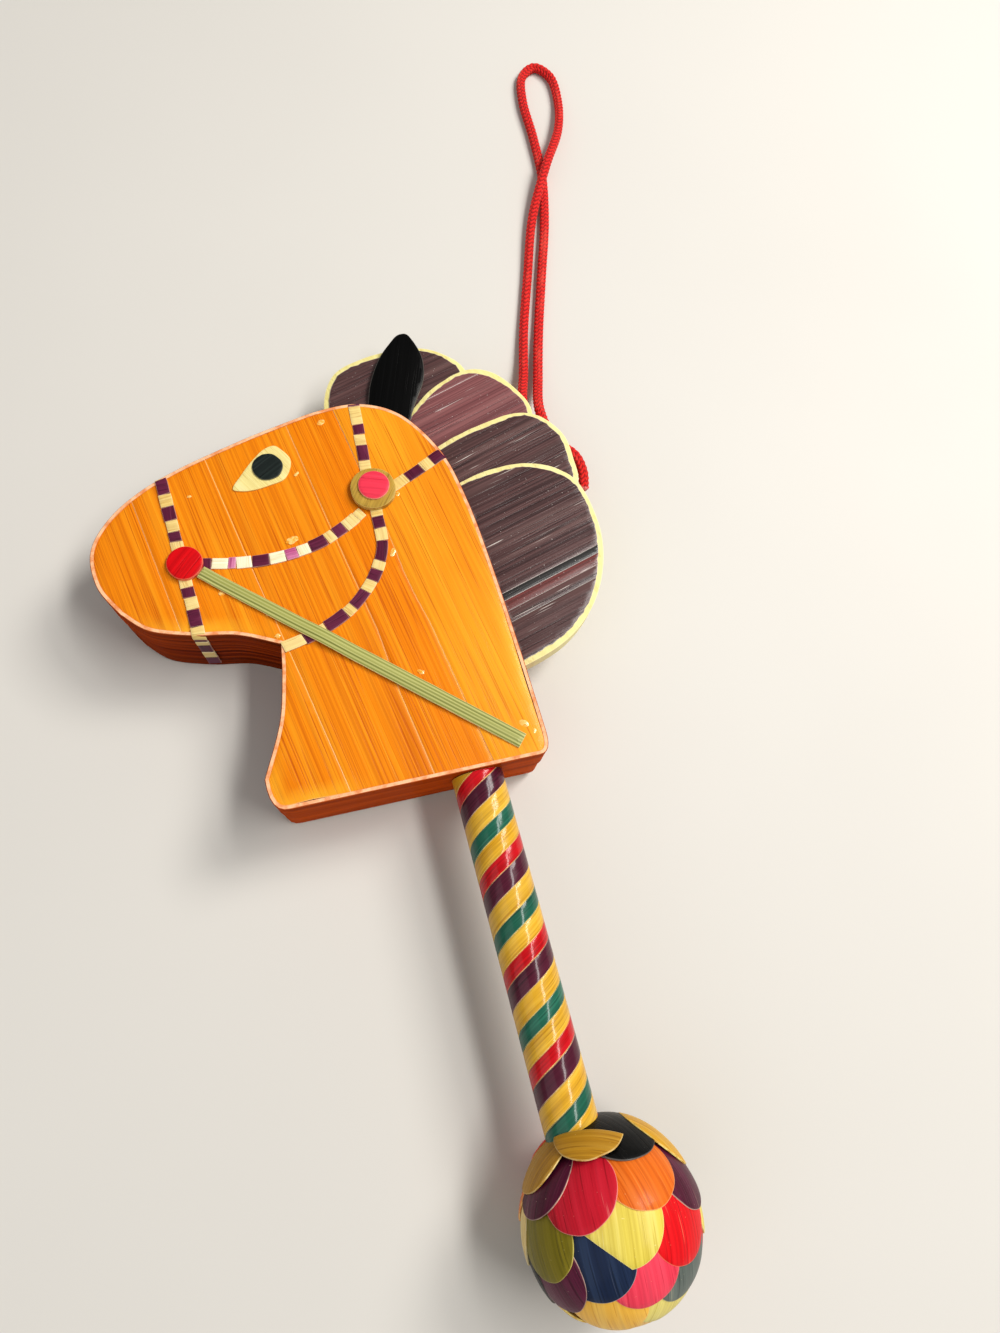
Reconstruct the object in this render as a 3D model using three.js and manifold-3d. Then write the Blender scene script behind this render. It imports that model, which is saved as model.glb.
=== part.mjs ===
// Hobby horse ornament of straw on wood: a flat horse's head on a wrapped stick, lying face up.
// Flat frame: x to the right, y along the stick towards the head, z out of the face, back of the head at z = 0.
import * as THREE from 'three';
import { mergeVertices } from 'three/addons/utils/BufferGeometryUtils.js';
import Module from 'manifold-3d';

const wasm = await Module();
wasm.setup();

// Driving dimensions, millimetres
const headThickness = 15;
const rimWidth = 0.8;
const rimDepth = 0.3;
const rimRound = 0.5;
const stickDiameter = 8.2;
const stickAxisHeight = 10.2;
const stickSlant = 1.2;
const stickFoot = 0.3;
const ballDiameter = 26;
const ballCentre = [0.9, -64.4];
const maneUnderside = 8;
const maneThickness = 2.4;
const maneStep = 0.3;
const maneBorder = 1.1;
const strawThickness = 0.35;
const strapWidth = 1.9;
const reinWidth = 2.4;
const earThickness = 0.8;
const cordDiameter = 2;
const glueGap = 0.1;
const fitGap = 0.2;

// Levels above the back of the head
const faceLevel = headThickness + glueGap;
const secondLayer = faceLevel + strawThickness + glueGap;

// Outlines in the flat frame
const crest = [[-47.1, 39.5], [-49.8, 45], [-49.7, 51.5], [-45.4, 57], [-38, 61.3], [-27.5, 64.6], [-17, 67],
  [-8, 68.5], [-1, 67.9], [5, 64], [9.6, 55.5], [11.4, 45], [12, 32], [12.2, 18], [12.2, 4]];
const neckBase = { right: [12.2, 0.4], left: [-31.6, 2.6], rightRound: 2, leftRound: 3.2 };
const throat = [[-31.2, 8], [-27.2, 16], [-25.3, 23], [-24.3, 28.4]];
const jaw = [[-24.3, 28.4], [-30.5, 31.6], [-37, 33.2], [-43.4, 35.7], [-47.1, 39.5]];
const lobeOutlines = [
  [[-7.4, 66], [-7.4, 72.6], [-4.3, 78.2], [0.8, 80.2], [6.6, 80.8], [12.3, 80.2], [16.1, 78], [19, 74.2], [18, 64], [0, 60]],
  [[4, 63], [9.3, 69.2], [14.5, 72.3], [19.5, 73.6], [23.6, 72.1], [27.1, 67.4], [28.5, 62.6], [24, 54], [6, 56]],
  [[4, 56], [9.3, 59], [18.2, 61.7], [25.5, 62.6], [29.4, 61], [32.5, 56.4], [32.8, 51.5], [31.8, 46], [22, 42], [6, 44]],
  [[7, 49], [12.3, 51.4], [18, 52.5], [24, 52.2], [29, 50], [31.9, 46.6], [33, 37], [31.1, 29.6], [27.2, 23.4],
    [21.3, 18.8], [13.3, 16.2], [7, 15.5]],
];
const earMiddle = [[3, 65.2], [6.4, 73.8], [9.8, 82.6]];
const earHalfWidth = 4.7;
const eyeRound = { centre: [-19.4, 59.9], radius: 4, tip: [-26.2, 56.4] };
const pupil = { centre: [-19.5, 59.5], diameter: 5 };
const bit = { centre: [-35.8, 45.4], diameter: 5.7, thickness: 0.5 };
const rosette = { centre: [-3.6, 51.1], diameter: 7.5, thickness: 0.8 };
const button = { centre: [-3.4, 51.4], diameter: 5.2, thickness: 0.4 };
const nosebandLine = [[-36.9, 66], [-36, 28]];
const browLine = [[-4, 55], [-2.4, 73]];
const crownLine = [[0.2, 51.2], [13.5, 57.1]];
const cheekLine = [[-32.6, 44.7], [-27.7, 43.6], [-23.2, 43.1], [-19.2, 43.2], [-14.2, 44], [-9.6, 45.9], [-6.3, 47.8]];
const latchLine = [[-4.1, 47.2], [-4.6, 41], [-7, 36.4], [-10.5, 32.7], [-14.6, 30.2], [-20, 28.4], [-24.6, 27.6]];
const reinLine = [[-33.7, 43.3], [8.1, 3.3]];
const sideBandFoot = 1;
const strapHemLevel = 11.6;

// Scale rows on the ball, from the stick down: polar angle of the tips, scales in the row, first scale's angle
const scaleRows = [
  { tip: 40, spread: 21, count: 6, first: -28 },
  { tip: 76, spread: 25, count: 8, first: -26 },
  { tip: 104, spread: 25, count: 8, first: -2 },
  { tip: 128, spread: 24, count: 8, first: -24 },
  { tip: 153, spread: 23, count: 6, first: -40 },
  { tip: 177, spread: 22, count: 2, first: 0 },
];
const scaleStep = 0.16;
const coreRadius = ballDiameter / 2 - scaleStep * (scaleRows.length + 1);

// The hanging cord's route: x and y in the flat frame, z above the table
const cordRoute = [[31.6, 62.2, 5.6], [32, 67, 4.6], [34.5, 74.5, 2.2], [38.2, 85.5, 1], [42.7, 98, 1],
  [47.4, 111, 1], [50.4, 122.5, 1], [51.6, 133, 1], [52.3, 143, 1], [54.2, 149.4, 1], [57.6, 151.4, 1], [60.2, 148.4, 1],
  [60, 141.5, 1], [57, 132.5, 2.2], [51.2, 123, 3.2], [45, 112, 1.6], [39.9, 98.6, 1], [35.4, 86.5, 1],
  [32, 76, 2.2], [29.3, 68.5, 4.6], [28.8, 62.4, 5.6]];
const tailRoute = [[33.6, 57.4, 5.4], [36, 55, 5.3], [36.5, 51.6, 5], [35.4, 48.2, 4.6]];
const knot = { centre: [30.2, 58.2, 5.4], size: [6, 6.4, 4.8] };

function vectors(points) {
  return points.map(([x, y]) => new THREE.Vector2(x, y));
}

function headOutline() {
  const shape = new THREE.Shape();
  const { right, left, rightRound, leftRound } = neckBase;
  shape.moveTo(...crest[0]);
  shape.splineThru(vectors(crest.slice(1)));
  shape.quadraticCurveTo(right[0], right[1], right[0] - rightRound, right[1] + 0.1);
  shape.lineTo(left[0] + leftRound, left[1]);
  shape.quadraticCurveTo(left[0], left[1], ...throat[0]);
  shape.splineThru(vectors(throat.slice(1)));
  shape.splineThru(vectors(jaw.slice(1)));
  return cleanLoop(shape.getPoints(3));
}

function cleanLoop(points) {
  const loop = [];
  for (const p of points) {
    if (!loop.length || p.distanceTo(loop[loop.length - 1]) > 0.05) loop.push(p.clone());
  }
  if (loop[0].distanceTo(loop[loop.length - 1]) < 0.05) loop.pop();
  if (THREE.ShapeUtils.isClockWise(loop)) loop.reverse();
  return loop;
}

// Moves each side of a counter-clockwise loop outward by the distance, inward where it is negative
function offsetLoop(loop, distance) {
  const n = loop.length;
  return loop.map((p, i) => {
    const before = p.clone().sub(loop[(i + n - 1) % n]).normalize();
    const after = loop[(i + 1) % n].clone().sub(p).normalize();
    const normalA = new THREE.Vector2(before.y, -before.x);
    const normalB = new THREE.Vector2(after.y, -after.x);
    const middle = normalA.clone().add(normalB).normalize();
    const reach = distance / Math.max(middle.dot(normalA), 0.5);
    return p.clone().addScaledVector(middle, reach);
  });
}

function smoothLoop(points, step = 3) {
  const curve = new THREE.CatmullRomCurve3(points.map(([x, y]) => new THREE.Vector3(x, y, 0)), true, 'centripetal');
  return cleanLoop(curve.getPoints(points.length * step).map((p) => new THREE.Vector2(p.x, p.y)));
}

function plate(loop, bottom, top) {
  const geometry = new THREE.ExtrudeGeometry(new THREE.Shape(loop), { depth: top - bottom, bevelEnabled: false });
  return geometry.translate(0, 0, bottom);
}

function roundedPlate(loop, bottom, top, round) {
  const geometry = new THREE.ExtrudeGeometry(new THREE.Shape(loop), {
    depth: top - bottom - 2 * round, bevelThickness: round, bevelSize: round, bevelOffset: -round, bevelSegments: 1,
  });
  return geometry.translate(0, 0, bottom + round);
}

function disc({ centre, diameter, thickness }, bottom) {
  const geometry = new THREE.CylinderGeometry(diameter / 2, diameter / 2, thickness, 28);
  return geometry.rotateX(Math.PI / 2).translate(centre[0], centre[1], bottom + thickness / 2);
}

// A ribbon's outline: its middle line with half the width to each side
function ribbonLoop(line, width) {
  const route = new THREE.SplineCurve(vectors(line));
  const steps = line.length > 2 ? line.length * 4 : 1;
  const left = [];
  const right = [];
  for (let i = 0; i <= steps; i += 1) {
    const p = route.getPoint(i / steps);
    const along = route.getTangent(i / steps);
    left.push(new THREE.Vector2(p.x - along.y * width / 2, p.y + along.x * width / 2));
    right.unshift(new THREE.Vector2(p.x + along.y * width / 2, p.y - along.x * width / 2));
  }
  return cleanLoop([...left, ...right]);
}

function solid(geometry) {
  const bare = geometry.index ? geometry.toNonIndexed() : geometry.clone();
  bare.deleteAttribute('normal');
  bare.deleteAttribute('uv');
  const merged = mergeVertices(bare, 1e-4);
  return new wasm.Manifold(new wasm.Mesh({
    numProp: 3,
    vertProperties: new Float32Array(merged.attributes.position.array),
    triVerts: new Uint32Array(merged.index.array),
  }));
}

function geometryOf(manifold) {
  const mesh = manifold.getMesh();
  const geometry = new THREE.BufferGeometry();
  geometry.setAttribute('position', new THREE.BufferAttribute(new Float32Array(mesh.vertProperties), 3));
  geometry.setIndex(new THREE.BufferAttribute(new Uint32Array(mesh.triVerts), 1));
  geometry.computeVertexNormals();
  return geometry;
}

function sum(solids) {
  return solids.reduce((whole, piece) => whole.add(piece));
}

function cut(solids, tools) {
  return tools.reduce((rest, tool) => rest.subtract(tool), solids);
}

const paint = {
  orange: { color: '#e8951c', roughness: 0.35 },
  mane: { color: '#4d2f30', roughness: 0.4 },
  pale: { color: '#e6d79a', roughness: 0.6 },
  black: { color: '#080808', roughness: 0.25 },
  strap: { color: '#b99a7c', roughness: 0.45 },
  rein: { color: '#9aae66', roughness: 0.5 },
  red: { color: '#d91420', roughness: 0.35 },
  pink: { color: '#dc3f5e', roughness: 0.5 },
  stick: { color: '#e0b437', roughness: 0.3 },
  ball: { color: '#b98a3c', roughness: 0.4 },
  cord: { color: '#d8281f', roughness: 0.85 },
};

const lying = new THREE.Group();
lying.name = 'lying_face_up';

function piece(name, geometry, look, parent = lying) {
  const material = new THREE.MeshStandardMaterial({ ...paint[look], metalness: 0 });
  const mesh = new THREE.Mesh(geometry, material);
  mesh.name = name;
  parent.add(mesh);
  return mesh;
}

// The head: a block with a rounded rim, its straw panel set into the front
const outline = headOutline();
const panelLoop = offsetLoop(outline, -rimWidth);
const recess = plate(panelLoop, headThickness - rimDepth, headThickness + 2);
const headRoom = plate(offsetLoop(outline, fitGap), -2, headThickness + 3);
piece('head_block', geometryOf(cut(solid(roundedPlate(outline, 0, headThickness, rimRound)), [solid(recess)])), 'orange');
piece('face_veneer', plate(offsetLoop(panelLoop, -glueGap), headThickness - rimDepth + glueGap, headThickness), 'orange');

// The mane: four lobes stepping up from the forelock down, each with a dark leaf inside its pale border
const lobes = lobeOutlines.map((points) => smoothLoop(points));
const lobeTop = lobes.map((loop, i) => maneUnderside + maneThickness + maneStep * i);
const board = sum(lobes.map((loop, i) => solid(plate(loop, maneUnderside, lobeTop[i]))));
piece('mane_board', geometryOf(cut(board, [solid(headRoom)])), 'pale');
lobes.forEach((loop, i) => {
  const leaf = solid(plate(offsetLoop(loop, -maneBorder), lobeTop[i] + glueGap, lobeTop[i] + glueGap + strawThickness));
  const above = lobes.slice(i + 1).map((other) => solid(plate(offsetLoop(other, glueGap), 0, headThickness)));
  piece(`mane_leaf_${i + 1}`, geometryOf(cut(leaf, [...above, solid(headRoom)])), 'mane');
});

// The ear: a leaf that starts behind the head's top edge
function earLoop() {
  const middle = new THREE.QuadraticBezierCurve(...vectors(earMiddle));
  const left = [];
  const right = [];
  const steps = 14;
  for (let i = 0; i <= steps; i += 1) {
    const t = i / steps;
    const p = middle.getPoint(t);
    const along = middle.getTangent(t);
    const half = earHalfWidth * Math.sin(Math.PI * (0.14 + 0.86 * t)) ** 0.85 + 0.2;
    left.push(new THREE.Vector2(p.x - along.y * half, p.y + along.x * half));
    right.unshift(new THREE.Vector2(p.x + along.y * half, p.y - along.x * half));
  }
  return cleanLoop([...left, ...right]);
}
const earBottom = lobeTop[1] + strawThickness + 2 * glueGap;
const ear = solid(plate(earLoop(), earBottom, earBottom + earThickness));
piece('ear', geometryOf(cut(ear, [solid(headRoom)])), 'black');

// The eye: a round white drawn out to a point, with its pupil
function eyeLoop() {
  const { centre, radius, tip } = eyeRound;
  const back = Math.atan2(tip[1] - centre[1], tip[0] - centre[0]);
  const reach = Math.hypot(tip[0] - centre[0], tip[1] - centre[1]);
  const half = Math.acos(radius / reach);
  const points = [new THREE.Vector2(...tip)];
  const steps = 24;
  for (let i = 0; i <= steps; i += 1) {
    const a = back + half + (2 * Math.PI - 2 * half) * i / steps;
    points.push(new THREE.Vector2(centre[0] + radius * Math.cos(a), centre[1] + radius * Math.sin(a)));
  }
  return cleanLoop(points);
}
piece('eye_white', plate(eyeLoop(), faceLevel, faceLevel + strawThickness), 'pale');
piece('eye_pupil', disc({ ...pupil, thickness: strawThickness }, secondLayer), 'black');

// The bridle: bands that lie on the face, three of them turned down over the head's edge
const skinOutside = offsetLoop(outline, fitGap + strawThickness);
function wrapped(line, width, foot) {
  const skin = solid(plate(skinOutside, foot, faceLevel + strawThickness));
  const inside = solid(plate(offsetLoop(outline, fitGap), -2, faceLevel));
  return geometryOf(skin.subtract(inside).intersect(solid(plate(ribbonLoop(line, width), -2, headThickness + 3))));
}
function onFace(line, width, bottom = faceLevel) {
  return plate(ribbonLoop(line, width), bottom, bottom + strawThickness);
}
piece('noseband', wrapped(nosebandLine, strapWidth, sideBandFoot), 'strap');
piece('browband', wrapped(browLine, strapWidth, strapHemLevel), 'strap');
piece('crown_strap', wrapped(crownLine, strapWidth, strapHemLevel), 'strap');
piece('cheek_strap', onFace(cheekLine, strapWidth), 'strap');
piece('throat_latch', onFace(latchLine, strapWidth), 'strap');
piece('rein', onFace(reinLine, reinWidth, secondLayer), 'rein');
piece('bit_disc', disc(bit, secondLayer), 'red');
piece('rosette_disc', disc(rosette, secondLayer), 'pale');
piece('rosette_button', disc(button, secondLayer + rosette.thickness + glueGap), 'pink');

// The ball: rows of round scales, each row lying over the next one down
function scale(outerRadius, spread) {
  const angle = THREE.MathUtils.degToRad(spread);
  const inner = coreRadius * 0.8;
  const at = (r, a) => new THREE.Vector2(r * Math.sin(a), r * Math.cos(a));
  const profile = [new THREE.Vector2(0, inner * Math.cos(angle)), at(inner, angle), at(outerRadius, angle),
    at(outerRadius, angle / 2), new THREE.Vector2(0, outerRadius)];
  return new THREE.LatheGeometry(profile, 10);
}
function scaleRow(row, index) {
  const solids = [];
  const lean = THREE.MathUtils.degToRad(row.tip - row.spread);
  for (let i = 0; i < row.count; i += 1) {
    const turn = THREE.MathUtils.degToRad(row.first + 360 * i / row.count);
    const geometry = scale(ballDiameter / 2 - scaleStep * (index + (i % 2) / 2), row.spread);
    geometry.rotateX(lean).rotateY(turn);
    solids.push(solid(geometry));
  }
  return solids;
}
const core = solid(new THREE.SphereGeometry(coreRadius, 16, 10));
const ball = sum([core, ...scaleRows.flatMap(scaleRow)]);
piece('ball', geometryOf(ball).translate(ballCentre[0], ballCentre[1], stickAxisHeight), 'ball');

// The stick: from the neck's underside into the ball's collar
const stickRod = new THREE.CylinderGeometry(stickDiameter / 2, stickDiameter / 2, -ballCentre[1] + 6, 32);
stickRod.translate(0, ballCentre[1] / 2 + 3, 0);
stickRod.rotateZ(-THREE.MathUtils.degToRad(stickSlant)).translate(stickFoot, 0, stickAxisHeight);
const ballRoom = new THREE.SphereGeometry(ballDiameter / 2 + fitGap, 40, 24);
ballRoom.translate(ballCentre[0], ballCentre[1], stickAxisHeight);
piece('stick', geometryOf(largest(cut(solid(stickRod), [solid(headRoom), solid(ballRoom)]))), 'stick');

function largest(manifold) {
  return manifold.decompose().sort((a, b) => b.volume() - a.volume())[0];
}

// It lies on the ball and on the brow's back edge, so the head leans by the ball's extra height
const browContact = new THREE.Vector2(-17, 67);
const browDirection = new THREE.Vector2(15, 3.2).normalize();
const toBall = new THREE.Vector2(...ballCentre).sub(browContact);
const lever = Math.abs(toBall.x * browDirection.y - toBall.y * browDirection.x);
const ballRadius = ballDiameter / 2 - 2 * scaleStep;
const lean = Math.asin(ballRadius / Math.hypot(stickAxisHeight, lever)) - Math.atan2(stickAxisHeight, lever);
lying.quaternion.setFromAxisAngle(new THREE.Vector3(browDirection.x, browDirection.y, 0), -lean);

// The cord lies on the table from behind the mane to the end of its loop
const loose = new THREE.Group();
loose.name = 'loose_cord';
function cordGeometry(route, steps) {
  const path = new THREE.CatmullRomCurve3(route.map((p) => new THREE.Vector3(...p)), false, 'centripetal');
  const round = new THREE.Shape();
  round.absarc(0, 0, cordDiameter / 2, 0, 2 * Math.PI, false);
  const ring = new THREE.Shape(round.getPoints(8).slice(0, 8));
  return new THREE.ExtrudeGeometry(ring, { steps, extrudePath: path, bevelEnabled: false });
}
piece('hanging_cord', cordGeometry(cordRoute, 52), 'cord', loose);
piece('cord_tail', cordGeometry(tailRoute, 5), 'cord', loose);
const knotBall = new THREE.SphereGeometry(0.5, 14, 10);
piece('cord_knot', knotBall.scale(...knot.size).translate(...knot.centre), 'cord', loose);

// The origin is under the middle of the ornament, on the table
const group = new THREE.Group();
group.name = 'hobby_horse_ornament';
group.add(lying, loose);
group.updateMatrixWorld(true);
const box = new THREE.Box3().setFromObject(lying, true);
const middle = box.getCenter(new THREE.Vector3());
lying.position.set(-middle.x, -middle.y, -box.min.z);
loose.position.set(-middle.x, -middle.y, 0);

export default group;
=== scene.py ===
import math
import random

import bpy
import numpy as np
from mathutils import Matrix, Vector, geometry, noise


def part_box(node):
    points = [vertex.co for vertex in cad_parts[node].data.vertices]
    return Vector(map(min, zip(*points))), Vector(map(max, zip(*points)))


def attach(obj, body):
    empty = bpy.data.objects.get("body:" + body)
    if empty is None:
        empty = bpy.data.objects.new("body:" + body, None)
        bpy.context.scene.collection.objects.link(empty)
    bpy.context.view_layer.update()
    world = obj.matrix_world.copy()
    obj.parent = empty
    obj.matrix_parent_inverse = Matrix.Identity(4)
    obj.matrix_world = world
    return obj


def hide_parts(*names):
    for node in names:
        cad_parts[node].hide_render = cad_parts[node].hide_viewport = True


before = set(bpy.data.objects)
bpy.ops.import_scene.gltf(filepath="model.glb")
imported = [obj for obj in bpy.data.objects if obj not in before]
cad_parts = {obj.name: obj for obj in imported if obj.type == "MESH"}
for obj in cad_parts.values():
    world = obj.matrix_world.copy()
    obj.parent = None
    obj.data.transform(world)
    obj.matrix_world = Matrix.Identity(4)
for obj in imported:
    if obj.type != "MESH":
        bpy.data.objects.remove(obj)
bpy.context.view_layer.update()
random.seed(17)
print("frame loaded:", len(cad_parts), "parts")

# flat frame: x right, y up the stick towards the head, z out of the face, millimetres
ornament = dict(
    lean=1.0754,  # degrees, the ball is fatter than the head is thick
    leanAxis=(15, 3.2, 0),
    rosetteMiddle=(-3.6, 51.1, 15.95),
    headThick=15.0,
    stickLevel=10.2,
)


def lyingMatrix(o):
    turn = Matrix.Rotation(math.radians(-o["lean"]), 4, Vector(o["leanAxis"]).normalized())
    low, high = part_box("rosette_disc")
    middle = (Vector(low) + Vector(high)) * 500
    shift = middle - turn @ Vector(o["rosetteMiddle"])
    return Matrix.Scale(0.001, 4) @ Matrix.Translation(shift) @ turn, shift


toRow, rowShift = lyingMatrix(ornament)
tableRow = Matrix.Scale(0.001, 4) @ Matrix.Translation((rowShift.x, rowShift.y, 0))

cameraSpot = dict(
    place=(-16.56, -24.31, 154.67),
    forward=(0.16781, 0.2731, -0.94724),
    up=(0.2455, 0.91901, 0.30846),
    lens=24.95,
    film=36,
)


def setCamera(c):
    back = -Vector(c["forward"]).normalized()
    right = Vector(c["up"]).cross(back).normalized()
    axes = Matrix((right, back.cross(right), back)).transposed()
    turn = (toRow.to_3x3().normalized() @ axes).to_4x4()
    camera = bpy.data.objects.new("photoCamera", bpy.data.cameras.new("photoCamera"))
    camera.data.lens = c["lens"]
    camera.data.sensor_fit = "VERTICAL"
    camera.data.sensor_height = c["film"]
    camera.data.clip_start = 0.005
    camera.matrix_world = Matrix.Translation(toRow @ Vector(c["place"])) @ turn
    bpy.context.collection.objects.link(camera)
    bpy.context.scene.camera = camera


setCamera(cameraSpot)
print("camera set")


# shader wiring: a Wire is one output socket, arithmetic on it adds Math nodes
class Wire:
    def __init__(self, tree, socket=None):
        self.tree = tree
        self.socket = socket

    def add(self, kind, settings=None, sockets=None, out=0):
        node = self.tree.nodes.new("ShaderNode" + kind)
        for key, value in (settings or {}).items():
            setattr(node, key, value)
        for key, value in (sockets or {}).items():
            if isinstance(value, Wire):
                self.tree.links.new(value.socket, node.inputs[key])
            else:
                node.inputs[key].default_value = value
        return Wire(self.tree, node.outputs[out])

    def maths(self, operation, *values):
        return self.add("Math", dict(operation=operation), dict(enumerate(values)))

    def __add__(self, other):
        return self.maths("ADD", self, other)

    def __sub__(self, other):
        return self.maths("SUBTRACT", self, other)

    def __rsub__(self, other):
        return self.maths("SUBTRACT", other, self)

    def __mul__(self, other):
        return self.maths("MULTIPLY", self, other)

    def __truediv__(self, other):
        return self.maths("DIVIDE", self, other)

    def __pow__(self, other):
        return self.maths("POWER", self, other)

    __radd__ = __add__
    __rmul__ = __mul__

    def part(self, axis):
        return self.add("SeparateXYZ", None, {0: self}, axis)

    def vector(self, x, y, z):
        return self.add("CombineXYZ", None, dict(X=x, Y=y, Z=z))

    def noise(self, x, y, z, detail=2.0, rough=0.5):
        place = self.vector(x, y, z)
        return self.add("TexNoise", None, dict(Vector=place, Scale=1.0, Detail=detail, Roughness=rough))

    def smooth(self, low, high):
        limits = {"Value": self, "From Min": low, "From Max": high}
        return self.add("MapRange", dict(interpolation_type="SMOOTHSTEP"), limits)

    def blend(self, first, second):  # a colour between two, by this value
        return self.add("Mix", dict(data_type="RGBA"), {0: self, 6: first, 7: second}, 2)

    def bump(self, distance):
        return self.add("Bump", None, dict(Strength=1.0, Distance=distance, Height=self))


def tint(red, green, blue):
    def linear(c):
        c = c / 255
        return c / 12.92 if c <= 0.04045 else ((c + 0.055) / 1.055) ** 2.4
    return (linear(red), linear(green), linear(blue), 1.0)


def newMaterial(name, fixed):
    material = bpy.data.materials.new(name)
    material.use_nodes = True
    tree = material.node_tree
    shader = tree.nodes["Principled BSDF"]
    for key, value in fixed.items():
        shader.inputs[key].default_value = value

    def feed(key, wire):
        tree.links.new(wire.socket, shader.inputs[key])
    return material, Wire(tree), feed


# straw: fibres run along V, U goes across them, both in millimetres
strawFinish = dict(
    face=dict(fibre=4.2, run=0.018, rough=0.34, coat=0.06, shine=0.12, bump=0.00003,
              dark=0.6, light=0.42, bands=0.22, pores=0.6),
    side=dict(fibre=1.8, run=0.02, rough=0.42, coat=0.05, shine=0.0, bump=0.00004,
              dark=0.85, light=0.65, bands=0.6, pores=0.6),
    mane=dict(fibre=3.0, run=0.02, rough=0.3, coat=0.1, shine=0.3, bump=0.00004,
              dark=0.8, light=0.5, bands=0.35, pores=0.6, scratch=0.8),
    ear=dict(fibre=3.0, run=0.03, rough=0.3, coat=0.02, shine=0.1, bump=0.00002,
             dark=0.5, light=0.5, bands=0.2, pores=0.4),
    band=dict(fibre=3.4, run=0.08, rough=0.45, coat=0.0, shine=0.12, bump=0.00004,
              dark=0.6, light=0.4, bands=0.3, pores=0.5),
    rein=dict(fibre=2.2, run=0.012, rough=0.42, coat=0.0, shine=0.2, bump=0.00005,
              dark=0.6, light=0.5, bands=0.3, pores=0.4, ribShadePitch=0.52),
    disc=dict(fibre=2.2, run=0.06, rough=0.4, coat=0.02, shine=0.1, bump=0.00005,
              dark=0.6, light=0.15, bands=0.1, pores=0.6),
    wound=dict(fibre=3.0, run=0.03, rough=0.3, coat=0.4, shine=0.1, bump=0.000015,
               dark=0.6, light=0.35, bands=0.3, pores=0.5),
    scale=dict(fibre=2.6, run=0.04, rough=0.4, coat=0.06, shine=0.1, bump=0.00004,
               dark=0.55, light=0.35, bands=0.3, pores=0.5, scratch=0.4),
    board=dict(fibre=1.2, run=0.2, rough=0.6, coat=0.0, shine=0.15, bump=0.00008,
               dark=0.4, light=0.4, bands=0.2, pores=0.3),
)

# dyes: middle, dark and light tone of the straw, then the pale of its cut edge
strawDye = dict(
    orange=((232, 126, 1), (178, 70, 0), (252, 182, 42), (255, 220, 156)),
    # the sides' orange red straw darkened with painted shade; its lit places get painted light
    shadedSideRed=((104, 22, 1), (40, 4, 0), (206, 82, 16), (226, 136, 82)),
    rim=((226, 140, 86), (186, 92, 48), (244, 180, 130), (246, 192, 148)),
    lining=((232, 220, 142), (200, 180, 96), (248, 240, 186), (246, 236, 180)),
    mane=((76, 48, 48), (34, 20, 22), (126, 96, 92), (222, 214, 206)),
    maneRed=((118, 66, 68), (66, 34, 38), (164, 112, 110), (226, 216, 210)),
    maneWine=((100, 42, 40), (54, 18, 18), (146, 84, 80), (226, 216, 210)),
    maneShade=((40, 38, 38), (16, 15, 16), (92, 90, 88), (226, 220, 214)),
    black=((2, 2, 2), (0, 0, 0), (12, 12, 13), (120, 116, 110)),
    pupil=((18, 25, 24), (5, 8, 8), (62, 74, 70), (120, 120, 100)),
    eyeWhite=((230, 212, 130), (206, 178, 92), (248, 240, 190), (236, 190, 96)),
    cream=((228, 196, 112), (190, 142, 62), (250, 234, 178), (250, 236, 190)),
    white=((244, 234, 196), (222, 202, 146), (255, 252, 234), (255, 250, 230)),
    purple=((80, 16, 44), (40, 5, 22), (128, 54, 86), (220, 176, 160)),
    lilac=((190, 76, 132), (140, 40, 92), (240, 172, 204), (244, 214, 220)),
    green=((162, 164, 84), (94, 100, 36), (208, 204, 138), (236, 212, 150)),
    red=((212, 3, 12), (150, 0, 6), (238, 36, 44), (250, 150, 110)),
    crimson=((184, 8, 30), (128, 2, 16), (222, 50, 70), (246, 186, 170)),
    pink=((234, 50, 76), (190, 24, 52), (250, 106, 124), (246, 186, 150)),
    rosette=((180, 142, 52), (128, 92, 26), (220, 194, 112), (214, 186, 104)),
    yellow=((212, 154, 14), (150, 94, 4), (248, 214, 92), (250, 228, 140)),
    teal=((13, 80, 61), (2, 36, 27), (72, 152, 126), (226, 214, 150)),
    plum=((70, 8, 36), (28, 1, 12), (124, 50, 82), (228, 196, 176)),
    wine=((60, 6, 25), (24, 1, 8), (116, 44, 72), (228, 196, 176)),
    scarlet=((190, 2, 12), (126, 0, 4), (234, 32, 52), (250, 150, 110)),
    mustard=((184, 132, 30), (128, 82, 10), (218, 178, 84), (236, 208, 140)),
    orangeScale=((222, 102, 18), (176, 66, 4), (244, 156, 76), (250, 206, 140)),
    olive=((101, 92, 6), (60, 56, 2), (156, 140, 38), (226, 210, 110)),
    paleYellow=((222, 202, 80), (182, 156, 40), (244, 232, 150), (250, 240, 176)),
    navy=((14, 26, 54), (4, 8, 22), (62, 82, 116), (206, 212, 216)),
    greyGreen=((70, 80, 76), (38, 46, 44), (118, 128, 120), (180, 176, 150)),
    amber=((250, 184, 48), (210, 132, 18), (255, 220, 120), (252, 230, 166)),
    core=((66, 30, 12), (36, 14, 6), (92, 46, 20), (110, 60, 28)),
)
strawMade = {}


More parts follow.
